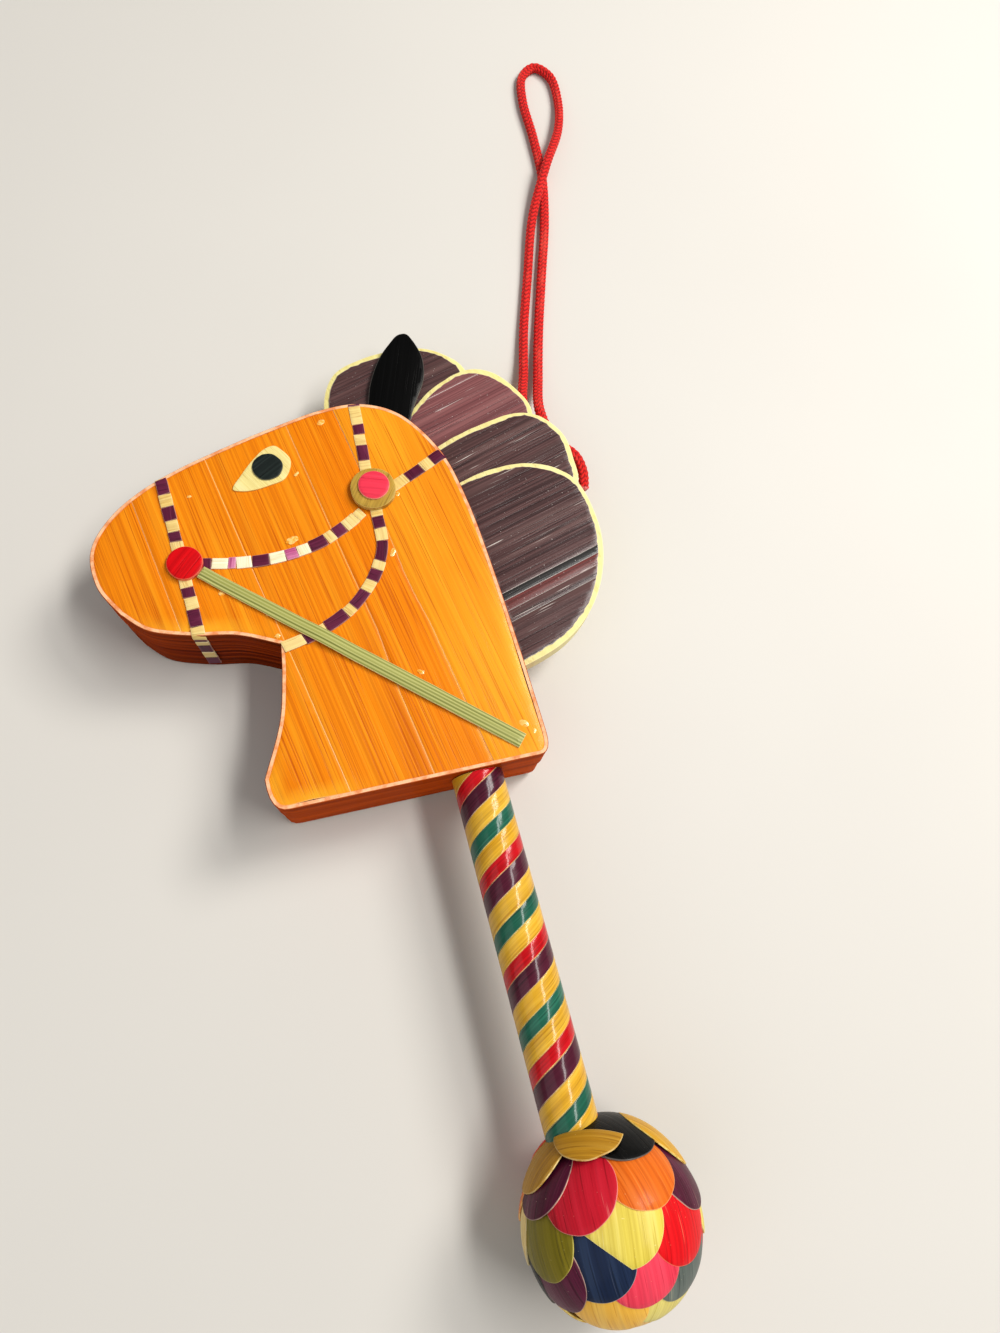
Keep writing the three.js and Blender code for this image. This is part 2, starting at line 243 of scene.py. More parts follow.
def straw(dye, finish):
    key = dye + finish.capitalize() + "Straw"
    if key in strawMade:
        return strawMade[key]
    f = strawFinish[finish]
    middle, dark, light, pale = (tint(*c) for c in strawDye[dye])
    fixed = {"Coat Weight": f["coat"], "Coat Roughness": 0.12, "Specular IOR Level": f["shine"]}
    material, wire, feed = newMaterial(key, fixed)
    grain = wire.add("UVMap", dict(uv_map="straw"))
    across, along = grain.part("X"), grain.part("Y")
    tone = wire.add("Attribute", dict(attribute_name="tone"), out="Fac")
    edge = wire.add("Attribute", dict(attribute_name="edge"), out="Fac")
    paintedLight = wire.add("Attribute", dict(attribute_name="paintedLight"), out="Fac")
    seed = tone * 91.7
    fine = wire.noise(across * f["fibre"], along * f["run"], seed, 4, 0.6)
    bands = wire.noise(across * 0.55, along * 0.012, seed + 5, 2)
    cloud = wire.noise(across * 0.13, along * 0.07, seed + 9, 2)
    pores = wire.noise(across * f["fibre"] * 1.2, along * f["run"] * 2.6, seed + 23, 1).smooth(0.58, 0.7)
    colour = ((1 - fine.smooth(0.32, 0.6)) * f["dark"]).blend(middle, dark)  # dark fibres
    colour = (fine.smooth(0.54, 0.76) * f["light"]).blend(colour, light)  # light fibres
    colour = (bands.smooth(0.42, 0.75) * f["bands"] + tone * 0.3).blend(colour, light)  # broad bands
    colour = (cloud.smooth(0.5, 0.75) * 0.25).blend(colour, middle)  # uneven dye
    colour = (pores * f["pores"]).blend(colour, dark)
    colour = (paintedLight * 0.8).blend(colour, light)  # painted light: lit places, painted sheen and painted highlights
    # painted shade in the rib grooves and painted highlight on the rib crests, at the rein's rib pitch
    if "ribShadePitch" in f:
        ribs = wire.maths("SINE", (across + fine * 0.14) * (2 * math.pi / f["ribShadePitch"]))
        colour = (ribs.smooth(0.0, 0.9) * bands.smooth(0.25, 0.6) * 0.85).blend(colour, dark)
        colour = ((1 - ribs.smooth(-0.95, -0.3)) * 0.5).blend(colour, light)
    rough = fine * 0.16 + cloud * 0.12 + (f["rough"] - 0.14)
    if "scratch" in f:
        lines = wire.noise(across * 4.2, along * 0.11, seed + 31, 1).smooth(0.69, 0.76)
        dots = wire.noise(across * 3.4, along * 3.4, seed + 41, 1).smooth(0.76, 0.8)
        marks = lines * bands.smooth(0.46, 0.6) + dots
        colour = (marks * f["scratch"]).blend(colour, pale)
        rough = rough + marks * 0.2
    colour = (edge ** 2 * 0.7).blend(colour, pale)  # the pale rim of a cut straw
    feed("Base Color", colour)
    feed("Roughness", rough)
    feed("Normal", (fine + bands * 0.7 - pores * 0.5).bump(f["bump"]))
    strawMade[key] = material
    return material


def cutEdge(dye):  # the pale sawn or sliced edge of a straw
    key = dye + "CutEdge"
    if key in strawMade:
        return strawMade[key]
    middle, dark, _, pale = (tint(*c) for c in strawDye[dye])
    material, wire, feed = newMaterial(key, {"Specular IOR Level": 0.15})
    place = wire.add("TexCoord", out="Object")
    x, y, z = (place.part(a) * 1000 for a in "XYZ")
    patch = wire.noise(x * 0.7, y * 0.7, z * 0.7, 3)
    fleck = wire.noise(x * 3.1, y * 3.1, z * 3.1, 2)
    colour = patch.smooth(0.3, 0.62).blend(middle, pale)
    colour = (fleck.smooth(0.62, 0.74) * 0.45).blend(colour, dark)
    feed("Base Color", colour)
    feed("Roughness", fleck * 0.2 + 0.45)
    feed("Normal", fleck.bump(0.00006))
    strawMade[key] = material
    return material


def dyeLooks(dyes, finish):  # each dye's pair of places in the list of materials
    looks, materials = {}, []
    for dye in dyes:
        looks[dye] = (len(materials), len(materials) + 1)
        materials += [straw(dye, finish), cutEdge(dye)]
    return looks, materials


print("straw finishes ready")


# outlines and sheets: a sheet is triangulated flat, then laid where a place function says
def catmull(points, step, closed=False, power=0.5):
    knots = [Vector(p) for p in points]
    count = len(knots)
    route = []
    for i in range(count if closed else count - 1):
        b, c = knots[i], knots[(i + 1) % count]
        a = knots[i - 1] if closed or i else (b if power == 0 else b * 2 - c)
        d = knots[(i + 2) % count] if closed or i + 2 < count else (c if power == 0 else c * 2 - b)
        g = [max((q - p).length, 1e-6) ** power for p, q in ((a, b), (b, c), (c, d))]
        m = ((b - a) / g[0] - (c - a) / (g[0] + g[1]) + (c - b) / g[1]) * g[1]
        n = ((c - b) / g[1] - (d - b) / (g[1] + g[2]) + (d - c) / g[2]) * g[1]
        pieces = max(1, round((c - b).length / step))
        for k in range(pieces):
            t = k / pieces
            route.append(b + m * t + (c * 3 - b * 3 - m * 2 - n) * t ** 2 + (b * 2 - c * 2 + m + n) * t ** 3)
    if not closed:
        route.append(knots[-1])
    return route


def corner(start, control, end, pieces=6):
    start, control, end = Vector(start), Vector(control), Vector(end)
    steps = [k / pieces for k in range(1, pieces + 1)]
    return [start * (1 - t) ** 2 + control * (2 * t * (1 - t)) + end * t ** 2 for t in steps]


def straight(start, end, step):
    start, end = Vector(start), Vector(end)
    pieces = max(1, round((end - start).length / step))
    return [start.lerp(end, k / pieces) for k in range(1, pieces + 1)]


def tidyLoop(loop):
    kept = []
    for p in loop:
        if not kept or (p - kept[-1]).length > 0.04:
            kept.append(p)
    if (kept[0] - kept[-1]).length < 0.04:
        kept.pop()
    area = sum(p.x * q.y - q.x * p.y for p, q in zip(kept, kept[1:] + kept[:1]))
    return kept if area > 0 else kept[::-1]


def loopNormals(loop):
    count = len(loop)
    normals = []
    for i in range(count):
        before = (loop[i] - loop[i - 1]).normalized()
        after = (loop[(i + 1) % count] - loop[i]).normalized()
        first, second = Vector((before.y, -before.x)), Vector((after.y, -after.x))
        middle = (first + second).normalized()
        normals.append(middle / max(middle.dot(first), 0.5))
    return normals


def offsetLoop(loop, distance):
    reach = distance if callable(distance) else (lambda i: distance)
    return [p + n * reach(i) for i, (p, n) in enumerate(zip(loop, loopNormals(loop)))]


def segments(line, closed):
    a = np.array([tuple(p)[:2] for p in line])
    b = np.roll(a, -1, axis=0)
    return (a, b) if closed else (a[:-1], b[:-1])


def distances(points, a, b):
    along = b - a
    size = np.maximum((along ** 2).sum(1), 1e-12)
    away = points[:, None, :] - a[None]
    t = np.clip((away * along[None]).sum(2) / size[None], 0, 1)
    return np.sqrt(((away - t[..., None] * along[None]) ** 2).sum(2).min(1))


def inside(points, loop):
    a, b = segments(loop, True)
    x, y = points[:, 0][:, None], points[:, 1][:, None]
    crosses = (a[None, :, 1] > y) != (b[None, :, 1] > y)
    rise = np.where(b[:, 1] == a[:, 1], 1e-9, b[:, 1] - a[:, 1])
    where = a[None, :, 0] + (y - a[None, :, 1]) * (b - a)[None, :, 0] / rise[None]
    return ((crosses & (x < where)).sum(1) % 2) == 1


class Pile:  # the points and faces of one piece
    def __init__(self):
        self.points, self.maps, self.tones, self.edges, self.paintedLights = [], [], [], [], []
        self.faces, self.looks = [], []

    def point(self, place, grain=(0, 0), tone=0.5, edge=0.0, paintedLight=0.0):
        self.points.append(tuple(place))
        self.maps.append(grain)
        self.tones.append(tone)
        self.edges.append(edge)
        self.paintedLights.append(paintedLight)
        return len(self.points) - 1

    def face(self, corners, look=0):
        self.faces.append(tuple(corners))
        self.looks.append(look)


def cutFlat(loop, pitch, lip, turn, seams, voids):
    coords, links, lines = [], [], []

    def lay(line, closed):
        first = len(coords)
        coords.extend(Vector(p[:2]) for p in line)
        links.extend((first + i, first + i + 1) for i in range(len(line) - 1))
        if closed:
            links.append((len(coords) - 1, first))
        lines.append(segments(line, closed))

    lay(loop, True)
    if lip:
        lay(offsetLoop(loop, -lip), True)
    for seam in seams:
        lay(seam, False)
    for void in voids:
        lay(void, True)
    shape = np.array([tuple(p)[:2] for p in loop])
    c, s = math.cos(turn), math.sin(turn)
    local = shape @ np.array([[c, -s], [s, c]])
    low, high = local.min(0), local.max(0)
    xs = np.arange(low[0] + pitch / 2, high[0], pitch)
    ys = np.arange(low[1] + pitch / 2, high[1], pitch)
    grid = np.stack(np.meshgrid(xs, ys), -1).reshape(-1, 2) @ np.array([[c, s], [-s, c]])
    if len(grid):
        a, b = np.concatenate([l[0] for l in lines]), np.concatenate([l[1] for l in lines])
        grid = grid[inside(grid, loop)]
        grid = grid[distances(grid, a, b) > pitch * 0.5] if len(grid) else grid
        coords.extend(Vector(p) for p in grid)
    found, _, triangles, *_ = geometry.delaunay_2d_cdt(coords, links, [], 0, 1e-6)
    spots = np.array([tuple(p) for p in found])
    corners = np.array([t for t in triangles if len(t) == 3])
    middles = spots[corners].mean(1)
    keep = inside(middles, loop)
    for void in voids:
        keep &= ~inside(middles, void)
    return spots, corners[keep], middles[keep]


# cut: thickness, pitch of the mesh, width of the bent lip round the rim and how far the lip drops
def addSheet(pile, loop, place, cut, grain=0.0, lift=None, seams=(), stripOf=None, voids=(), tone=None,
             looks=(0, 1), flip=False, paintedLight=None):
    loop = tidyLoop([Vector(p[:2]) for p in loop])
    spots, corners, middles = cutFlat(loop, cut["pitch"], cut["lip"], grain, seams, voids)
    strips = np.array([stripOf(*m) for m in middles]) if stripOf else np.zeros(len(corners), int)
    c, s = math.cos(grain), math.sin(grain)
    for strip in sorted(set(strips)):
        ours = corners[strips == strip]
        shade = tone[strip] if isinstance(tone, list) else tone
        if tone is None:
            shade = random.random()
        top, wall = looks[strip] if isinstance(looks, list) else looks
        rims = {}
        for t in ours:
            for p, q in ((t[0], t[1]), (t[1], t[2]), (t[2], t[0])):
                rims[(p, q)] = True
        rims = [(p, q) for p, q in rims if (q, p) not in rims]
        onRim = {p for pair in rims for p in pair}
        upper, lower = {}, {}
        for i in sorted(set(ours.ravel())):
            x, y = spots[i]
            high = (lift(x, y, strip) if lift else 0.0) - (cut["drop"] if i in onRim else 0.0)
            grained = (x * c + y * s, y * c - x * s)
            # painted light of each point: painted sheen and lit places
            paintedBright = paintedLight(x, y) if paintedLight else 0.0
            upper[i] = pile.point(place(x, y, high), grained, shade, 1.0 if i in onRim else 0.0, paintedBright)
            lower[i] = pile.point(place(x, y, high - cut["thick"]), grained, shade, 1.0)
        for t in ours:
            lid = [upper[i] for i in t]
            base = [lower[i] for i in t]
            pile.face(lid[::-1] if flip else lid, top)
            pile.face(base if flip else base[::-1], wall)
        for p, q in rims:
            band = [upper[p], lower[p], lower[q], upper[q]]
            pile.face(band[::-1] if flip else band, wall)


def closeRings(pile, rings, look=0, outward=True):
    count = len(rings[0])
    for first, second in zip(rings, rings[1:]):
        for k in range(count):
            n = (k + 1) % count
            quad = (first[k], first[n], second[n], second[k])
            pile.face(quad if outward else (quad[0], quad[3], quad[2], quad[1]), look)
    pile.face(rings[0][::-1] if outward else rings[0], look)
    pile.face(rings[-1] if outward else rings[-1][::-1], look)


def makePiece(name, pile, materials, replaced=(), matrix=None, sharp=38):
    matrix = toRow if matrix is None else matrix
    mesh = bpy.data.meshes.new(name)
    mesh.from_pydata([matrix @ Vector(p) for p in pile.points], [], pile.faces)
    for material in materials:
        mesh.materials.append(material)
    mesh.polygons.foreach_set("material_index", pile.looks)
    corners = np.zeros(len(mesh.loops), int)
    mesh.loops.foreach_get("vertex_index", corners)
    grain = mesh.uv_layers.new(name="straw")
    grain.uv.foreach_set("vector", np.array(pile.maps, float)[corners].ravel())
    for key, values in (("tone", pile.tones), ("edge", pile.edges), ("paintedLight", pile.paintedLights)):
        mesh.attributes.new(key, "FLOAT", "POINT").data.foreach_set("value", values)
    mesh.shade_smooth()
    mesh.set_sharp_from_angle(angle=math.radians(sharp))
    mesh.update()
    piece = bpy.data.objects.new(name, mesh)
    bpy.context.collection.objects.link(piece)
    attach(piece, "root")
    if replaced:
        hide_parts(*replaced)
    print("made", name, "with", len(mesh.polygons), "faces")
    return piece


def makeLeaf(name, node, slot, dye, finish, *sheet, **more):  # a piece that is one sheet of one dye
    pile = Pile()
    addSheet(pile, *sheet, **more)
    makePiece(name, pile, [straw(dye, finish), cutEdge(dye)], [node])


def flatAt(level):
    return lambda x, y, h: (x, y, level + h)


def wave(x, y=0.0, z=0.0):
    return noise.noise(Vector((x, y, z)))


# the hanging cord: a knitted tube that follows the laid route
cord = dict(
    route=[(31.6, 62.2, 5.6), (32, 67, 4.6), (34.5, 74.5, 2.2), (38.2, 85.5, 1), (42.7, 98, 1),
           (47.4, 111, 1), (50.4, 122.5, 1), (51.6, 133, 1), (52.3, 143, 1), (54.2, 149.4, 1),
           (57.6, 151.4, 1), (60.2, 148.4, 1), (60, 141.5, 1), (57, 132.5, 2.2), (51.2, 123, 3.2),
           (45, 112, 1.6), (39.9, 98.6, 1), (35.4, 86.5, 1), (32, 76, 2.2), (29.3, 68.5, 4.6),
           (28.8, 62.4, 5.6)],
    tail=[(31.4, 57.8, 5.6), (33.4, 57.2, 5.4), (35.3, 55, 5.3), (35.8, 51.6, 5), (34.9, 47.9, 4.6)],
    knotMiddle=(30.2, 58.2, 5.4),
    knotReach=(2.2, 2.3, 1.35),
    knotOpen=0.35,  # radians of the knot's turn left out at each end
    knotPoints=140,
    diameter=2.0,
    stitch=0.95,
    ribs=6,
    around=30,
    step=0.16,
    sharp=60,
)


def evenly(route, step):
    lengths = np.cumsum([0] + [(q - p).length for p, q in zip(route, route[1:])])
    count = max(2, round(lengths[-1] / step) + 1)
    wanted = np.linspace(0, lengths[-1], count)
    places = np.array([tuple(p) for p in route])
    columns = [np.interp(wanted, lengths, places[:, k]) for k in range(3)]
    return [Vector(p) for p in zip(*columns)], wanted


def knitTube(pile, route, c):
    centres, lengths = evenly(route, c["step"])
    count, around = len(centres), c["around"]
    side = None
    rings = []
    for i, centre in enumerate(centres):
        ahead = (centres[min(i + 1, count - 1)] - centres[max(i - 1, 0)]).normalized()
        if side is None:
            side = ahead.orthogonal().normalized()
        side = (side - ahead * side.dot(ahead)).normalized()
        other = ahead.cross(side)
        ring = []
        for k in range(around):
            turn = 2 * math.pi * k / around
            column, rib = divmod(k / around * c["ribs"], 1.0)
            arm = abs(rib - 0.5) * 2  # 0 in the middle of a rib, 1 in the groove
            loopWave = math.cos(2 * math.pi * (lengths[i] / c["stitch"] + 0.6 * arm + 0.5 * column))
            radius = c["diameter"] / 2 * (0.93 + 0.07 * loopWave * (1 - 0.4 * arm) - 0.17 * arm ** 3)
            ends = min(lengths[i], lengths[-1] - lengths[i]) / (c["diameter"] * 0.35)
            if ends < 1:
                radius *= max(0.25, math.sqrt(max(0.0, 1 - (1 - ends) ** 2)))
            spot = centre + (side * math.cos(turn) + other * math.sin(turn)) * radius
            tip = 1.0 if ends < 0.9 else 0.0
            # tone carries the knit's wave, for the bump and for the painted shade in the grooves
            ring.append(pile.point(spot, (turn, lengths[i]), 0.5 + 0.5 * loopWave, tip))
        rings.append(ring)
    closeRings(pile, rings)
    return centres


def cordMaterial():
    fixed = {"Sheen Weight": 0.35, "Sheen Roughness": 0.4, "Specular IOR Level": 0.3}
    fixed["Sheen Tint"] = tint(255, 150, 130)
    material, wire, feed = newMaterial("knittedCord", fixed)
    grain = wire.add("UVMap", dict(uv_map="straw"))
    turn, along = grain.part("X"), grain.part("Y")
    tone = wire.add("Attribute", dict(attribute_name="tone"), out="Fac")
    tip = wire.add("Attribute", dict(attribute_name="edge"), out="Fac")
    hairs = wire.noise(turn * 9, along * 5, 0.0, 3, 0.6)
    patch = wire.noise(turn * 0.6, along * 0.14, 3.0, 2)
    # painted shade: darker red in the stitch grooves, lighter on the stitch crests, by the knit's wave in
    # tone
    colour = (tone.smooth(0.05, 0.8) * 0.8 + hairs * 0.25).blend(tint(138, 2, 6), tint(238, 30, 28))
    colour = (patch.smooth(0.5, 0.75) * 0.35).blend(colour, tint(250, 96, 78))
    colour = (tip * 0.55).blend(colour, tint(244, 150, 150))
    feed("Base Color", colour)
    feed("Roughness", hairs * 0.2 + 0.68)
    feed("Normal", (hairs + tone * 0.6).bump(0.00012))
    return material


def makeCord(c):
    look = cordMaterial()
    pile = Pile()
    centres = knitTube(pile, catmull(c["route"], 0.5), c)
    loop = makePiece("knittedLoop", pile, [look], ["hanging_cord"], tableRow, c["sharp"])
    pile = Pile()
    knitTube(pile, catmull(c["tail"], 0.5), c)
    tail = makePiece("cordTailEnd", pile, [look], ["cord_tail"], tableRow, c["sharp"])
    pile = Pile()
    middle, reach = Vector(c["knotMiddle"]), c["knotReach"]
    bow = []
    for k in range(c["knotPoints"]):
        t = c["knotOpen"] + (2 * math.pi - 2 * c["knotOpen"]) * k / (c["knotPoints"] - 1)
        curl = ((math.sin(t) + 2 * math.sin(2 * t)) / 3, (math.cos(t) - 2 * math.cos(2 * t)) / 3,
                -math.sin(3 * t))
        bow.append(middle + Vector([a * b for a, b in zip(curl, reach)]))
    knitTube(pile, bow, c)
    knot = makePiece("cordKnot", pile, [look], ["cord_knot"], tableRow, c["sharp"])
    path = [tableRow @ p for p in centres[::4]]
    length = sum((q - p).length for p, q in zip(path, path[1:]))
    print("cord length", round(length * 1000, 1), "mm")
    tuple(path[0])
    [tuple(p) for p in path]


makeCord(cord)

# the head: a wooden block with straw bands round its side and straw strips on its face and back
head = dict(
    crest=[(-47.1, 39.5), (-49.8, 45), (-49.7, 51.5), (-45.4, 57), (-38, 61.3), (-27.5, 64.6), (-17, 67),
           (-8, 68.5), (-1, 67.9), (5, 64), (9.6, 55.5), (11.4, 45), (12, 32), (12.2, 18), (12.2, 4)],
    throat=[(-31.2, 8), (-27.2, 16), (-25.3, 23), (-24.3, 28.4)],
    jaw=[(-24.3, 28.4), (-30.5, 31.6), (-37, 33.2), (-43.4, 35.7), (-47.1, 39.5)],
    neckRight=(12.2, 0.4),
    neckLeft=(-31.6, 2.6),
    rightRound=2.0,
    leftRound=3.2,
    rim=0.5,
    grain=8.4,  # degrees between the straw and the stick
    seams=[[(70, -33.0), (0, -33.4)], [(70, -19.7), (44, -19.4), (25, -18.9), (0, -18.6)],
           [(70, -5.0), (48, -5.1), (28, -5.0), (17, -5.8), (0, -6.1)],
           [(70, 3.5), (46, 3.3), (39, 3.05), (35.8, 2.8), (30, 2.9), (26, 3.2), (0, 3.0)]],
    seamLip=0.13,
    steps=[0.0, 0.05, 0.0, 0.04, 0.11],
    tones=[0.3, 0.2, 0.3, 0.12, 1.0],
    backTones=[0.5, 0.2, 0.6, 0.3, 0.4],
    pressed=[(-36, 34, 13, 7, 1.0), (-27, 4, 12, 9, 1.0), (11, 12, 4, 26, 0.6)],  # straw bent over the edge, with a painted highlight on the bend
    drawnBack=[(12, 13, 2, 11, 0.3), (-25, 2.6, 7, 2, 0.35)],  # straw shrunk away from the rim
    faceCut=dict(thick=0.32, pitch=0.75, lip=0.2, drop=0.07),
    paintedSheen=dict(middle=(8, 16), squash=0.6, reach=11, strength=0.4),  # painted sheen: a pale patch on the lower right strip, above the rein's end
    coreInset=0.45,
    coreDrop=0.38,  # the core's top under the face straw
    coreCut=dict(thick=ornament["headThick"] - 0.7, pitch=2.0, lip=0, drop=0),
    sideBands=[  # the lower band laps under the upper one
        dict(low=0.12, high=8.0, out=0.16, lowWave=0.05, highWave=0.12, tone=0.3),
        dict(low=7.7, high=ornament["headThick"] + 0.08, out=0.0, lowWave=0.2, highWave=0.09, tone=0.55),
    ],
    backInset=0.5,
    backLevel=0.3,
    sideCut=dict(thick=0.5, pitch=1.3, lip=0.16, drop=0.13),
    backCut=dict(thick=0.25, pitch=1.6, lip=0.2, drop=0.05),
    top=ornament["headThick"],
)


def headLoop(h, step=0.7):
    right, left = h["neckRight"], h["neckLeft"]
    loop = catmull(h["crest"], step, power=0)
    end = (right[0] - h["rightRound"], right[1] + 0.1)
    loop += corner(loop[-1], right, end)
    loop += straight(end, (left[0] + h["leftRound"], left[1]), step)
    loop += corner(loop[-1], left, h["throat"][0])
    loop += catmull(h["throat"], step, power=0)[1:]
    loop += catmull(h["jaw"], step, power=0)[1:]
    return tidyLoop(loop)


headOutline = headLoop(head)
headSegments = segments(headOutline, True)
headGap = 0.05  # left round the head by what is fitted behind it


def rimDistance(x, y):
    return float(distances(np.array([[x, y]]), *headSegments)[0])


def faceLift(x, y, strip):
    h = head
    turn = math.radians(h["grain"])
    u, v = x * math.cos(turn) + y * math.sin(turn), y * math.cos(turn) - x * math.sin(turn)
    rise = h["steps"][strip] + 0.05 * wave(u * 0.12, v * 0.06, strip * 7.3)
    rise += 0.016 * wave(u * 0.9, v * 0.05, strip * 3.1)
    near = max(0.0, 1 - rimDistance(x, y) / 2.6)
    return rise - near ** 1.6 * (0.06 + 0.5 * edgeBend(x, y))


def spotsAt(spots, x, y):  # middle and reach of each spot, then its strength, fading out to its reach
    return [strength * max(0.0, 1 - abs(x - mx) / rx) * max(0.0, 1 - abs(y - my) / ry)
            for mx, my, rx, ry, strength in spots]


def edgeBend(x, y):
    return max(spotsAt(head["pressed"], x, y))


# painted light on the face: a painted sheen patch and a painted highlight where the straw bends over the rim
def facePaintedLight(x, y):
    near = max(0.0, 1 - rimDistance(x, y) / 3.2)
    w = head["paintedSheen"]
    away = math.hypot(x - w["middle"][0], (y - w["middle"][1]) * w["squash"])
    paintedSheen = w["strength"] * max(0.0, 1 - away / w["reach"])
    return min(1.0, paintedSheen + 1.6 * near * edgeBend(x, y) * (1 + 0.6 * wave(x * 0.35, y * 0.35, 5.0)))


def makeHead(h):
    turn = math.radians(h["grain"])
    cosT, sinT = math.cos(turn), math.sin(turn)

    def seamAt(k, v):
        places = sorted(h["seams"][k])
        middle = float(np.interp(v, [p[0] for p in places], [p[1] for p in places]))
        return middle + (0.09 if k == 3 else 0.04) * wave(v * 0.8, k * 11.0)

    def stripOf(x, y):
        u, v = x * cosT + y * sinT, y * cosT - x * sinT
        return sum(u > seamAt(k, v) for k in range(len(h["seams"])))

    seams = []
    for k in range(len(h["seams"])):
        for lip in (0, -h["seamLip"], h["seamLip"]):
            places = [(seamAt(k, v) + lip, v) for v in np.arange(-6, 80, 0.45)]
            seams.append([(u * cosT - v * sinT, u * sinT + v * cosT) for u, v in places])

    def inset(i):
        p = headOutline[i]
        return -h["rim"] - 0.1 * wave(i * 0.21, 3.0) - sum(spotsAt(h["drawnBack"], p.x, p.y))

    panel = offsetLoop(headOutline, inset)
    pile = Pile()
    addSheet(pile, panel, flatAt(h["top"]), h["faceCut"], turn, faceLift, seams, stripOf, tone=h["tones"],
             paintedLight=facePaintedLight)
    looks = [straw("orange", "face"), cutEdge("orange")]
    makePiece("faceStraw", pile, looks, ["face_veneer"])

    pile = Pile()
    core = offsetLoop(headOutline, -h["coreInset"])
    addSheet(pile, core, flatAt(h["top"] - h["coreDrop"]), h["coreCut"], looks=(3, 3))
    normals = loopNormals(headOutline)
    closed = headOutline + headOutline[:1]
    lengths = np.cumsum([0] + [(q - p).length for p, q in zip(closed, closed[1:])])
    total = lengths[-1]
    closedPoints = np.array([tuple(p) for p in closed])
    closedNormals = np.array([tuple(n) for n in normals + normals[:1]])

    def onSide(out):
        def place(s, z, high):
            s = min(max(s, 0.0), total)
            spot = [np.interp(s, lengths, closedPoints[:, k]) for k in (0, 1)]
            way = [np.interp(s, lengths, closedNormals[:, k]) for k in (0, 1)]
            return (spot[0] + way[0] * (high - out), spot[1] + way[1] * (high - out), z)
        return place

    def sidePaintedLight(s, z):  # painted light: the lit neck's foot, most right of the stick, and the muzzle side's nose end are painted a lighter orange red than the shaded jaw
        x, y = (np.interp(s, lengths, closedPoints[:, k]) for k in (0, 1))
        foot = (0.9 if z < h["sideBands"][1]["low"] else 0.7) + (0.3 if x > 4 else 0)
        foot = min(1.0, max(0.0, (7 - y) / 4)) * foot
        chin = 0.35 * min(1.0, max(0.0, (-38 - x) / 8))
        return max(foot, chin) * (0.8 + 0.6 * wave(s * 0.06, z * 0.9, 8.0))

    def band(low, high, out, lowWave, highWave, tone):
        floor = [(s, low + lowWave * wave(s * 0.11, low)) for s in lengths]
        ceiling = [(s, high + highWave * wave(s * 0.16, high + 4) + highWave * 0.5 * wave(s * 0.7, 9))
                   for s in lengths]
        addSheet(pile, floor + ceiling[::-1], onSide(out), h["sideCut"], math.pi / 2,
                 lambda s, z, k: 0.03 * wave(s * 0.05, z * 0.4, 2.0), tone=tone, paintedLight=sidePaintedLight)

    for settings in h["sideBands"]:
        band(**settings)
    backPanel = offsetLoop(headOutline, -h["backInset"])
    addSheet(pile, backPanel, lambda x, y, z: (x, y, h["backLevel"] - z), h["backCut"], turn, None, seams,
             stripOf, tone=h["backTones"], looks=(2, 1), flip=True)
    looks = [straw("shadedSideRed", "side"), cutEdge("rim"), straw("orange", "side"), cutEdge("core")]
    makePiece("headSides", pile, looks, ["head_block"])


makeHead(head)

# the mane: four lobes of pale board, each with a dark straw leaf that leaves a border
mane = dict(
    lobes=[[(-7.4, 66), (-7.4, 72.6), (-4.3, 78.2), (0.8, 80.2), (6.6, 80.8), (12.3, 80.2), (16.1, 78),
            (19, 74.2), (18, 64), (0, 60)],
           [(4, 63), (9.3, 69.2), (14.5, 72.3), (19.5, 73.6), (23.6, 72.1), (27.1, 67.4), (28.5, 62.6),
            (24, 54), (6, 56)],
           [(4, 56), (9.3, 59), (18.2, 61.7), (25.5, 62.6), (29.4, 61), (32.5, 56.4), (32.8, 51.5),
            (31.8, 46), (22, 42), (6, 44)],
           [(7, 49), (12.3, 51.4), (18, 52.5), (24, 52.2), (29, 50), (31.9, 46.6), (33, 37), (31.1, 29.6),
            (27.2, 23.4), (21.3, 18.8), (13.3, 16.2), (7, 15.5)]],
    underside=8.0,
    thick=2.4,
    step=0.3,
    border=0.9,
    grain=[15, 16.6, 16, 14],
    strips=[[], [63.05], [], [20.1, 22.05, 23.9, 25.2]],  # seams, counted up across the straw
    dyes=[["mane"], ["maneRed", "maneRed"], ["mane"], ["mane", "mane", "maneWine", "maneShade", "mane"]],
    tones=[[0.3], [0.35, 0.6], [0.2], [0.25, 0.1, 0.3, 0.1, 0.15]],
    seamLip=0.1,
    boardCut=dict(pitch=1.2, lip=0.25, drop=0.12),
    leafCut=dict(thick=0.18, pitch=0.9, lip=0.14, drop=0.05),
)


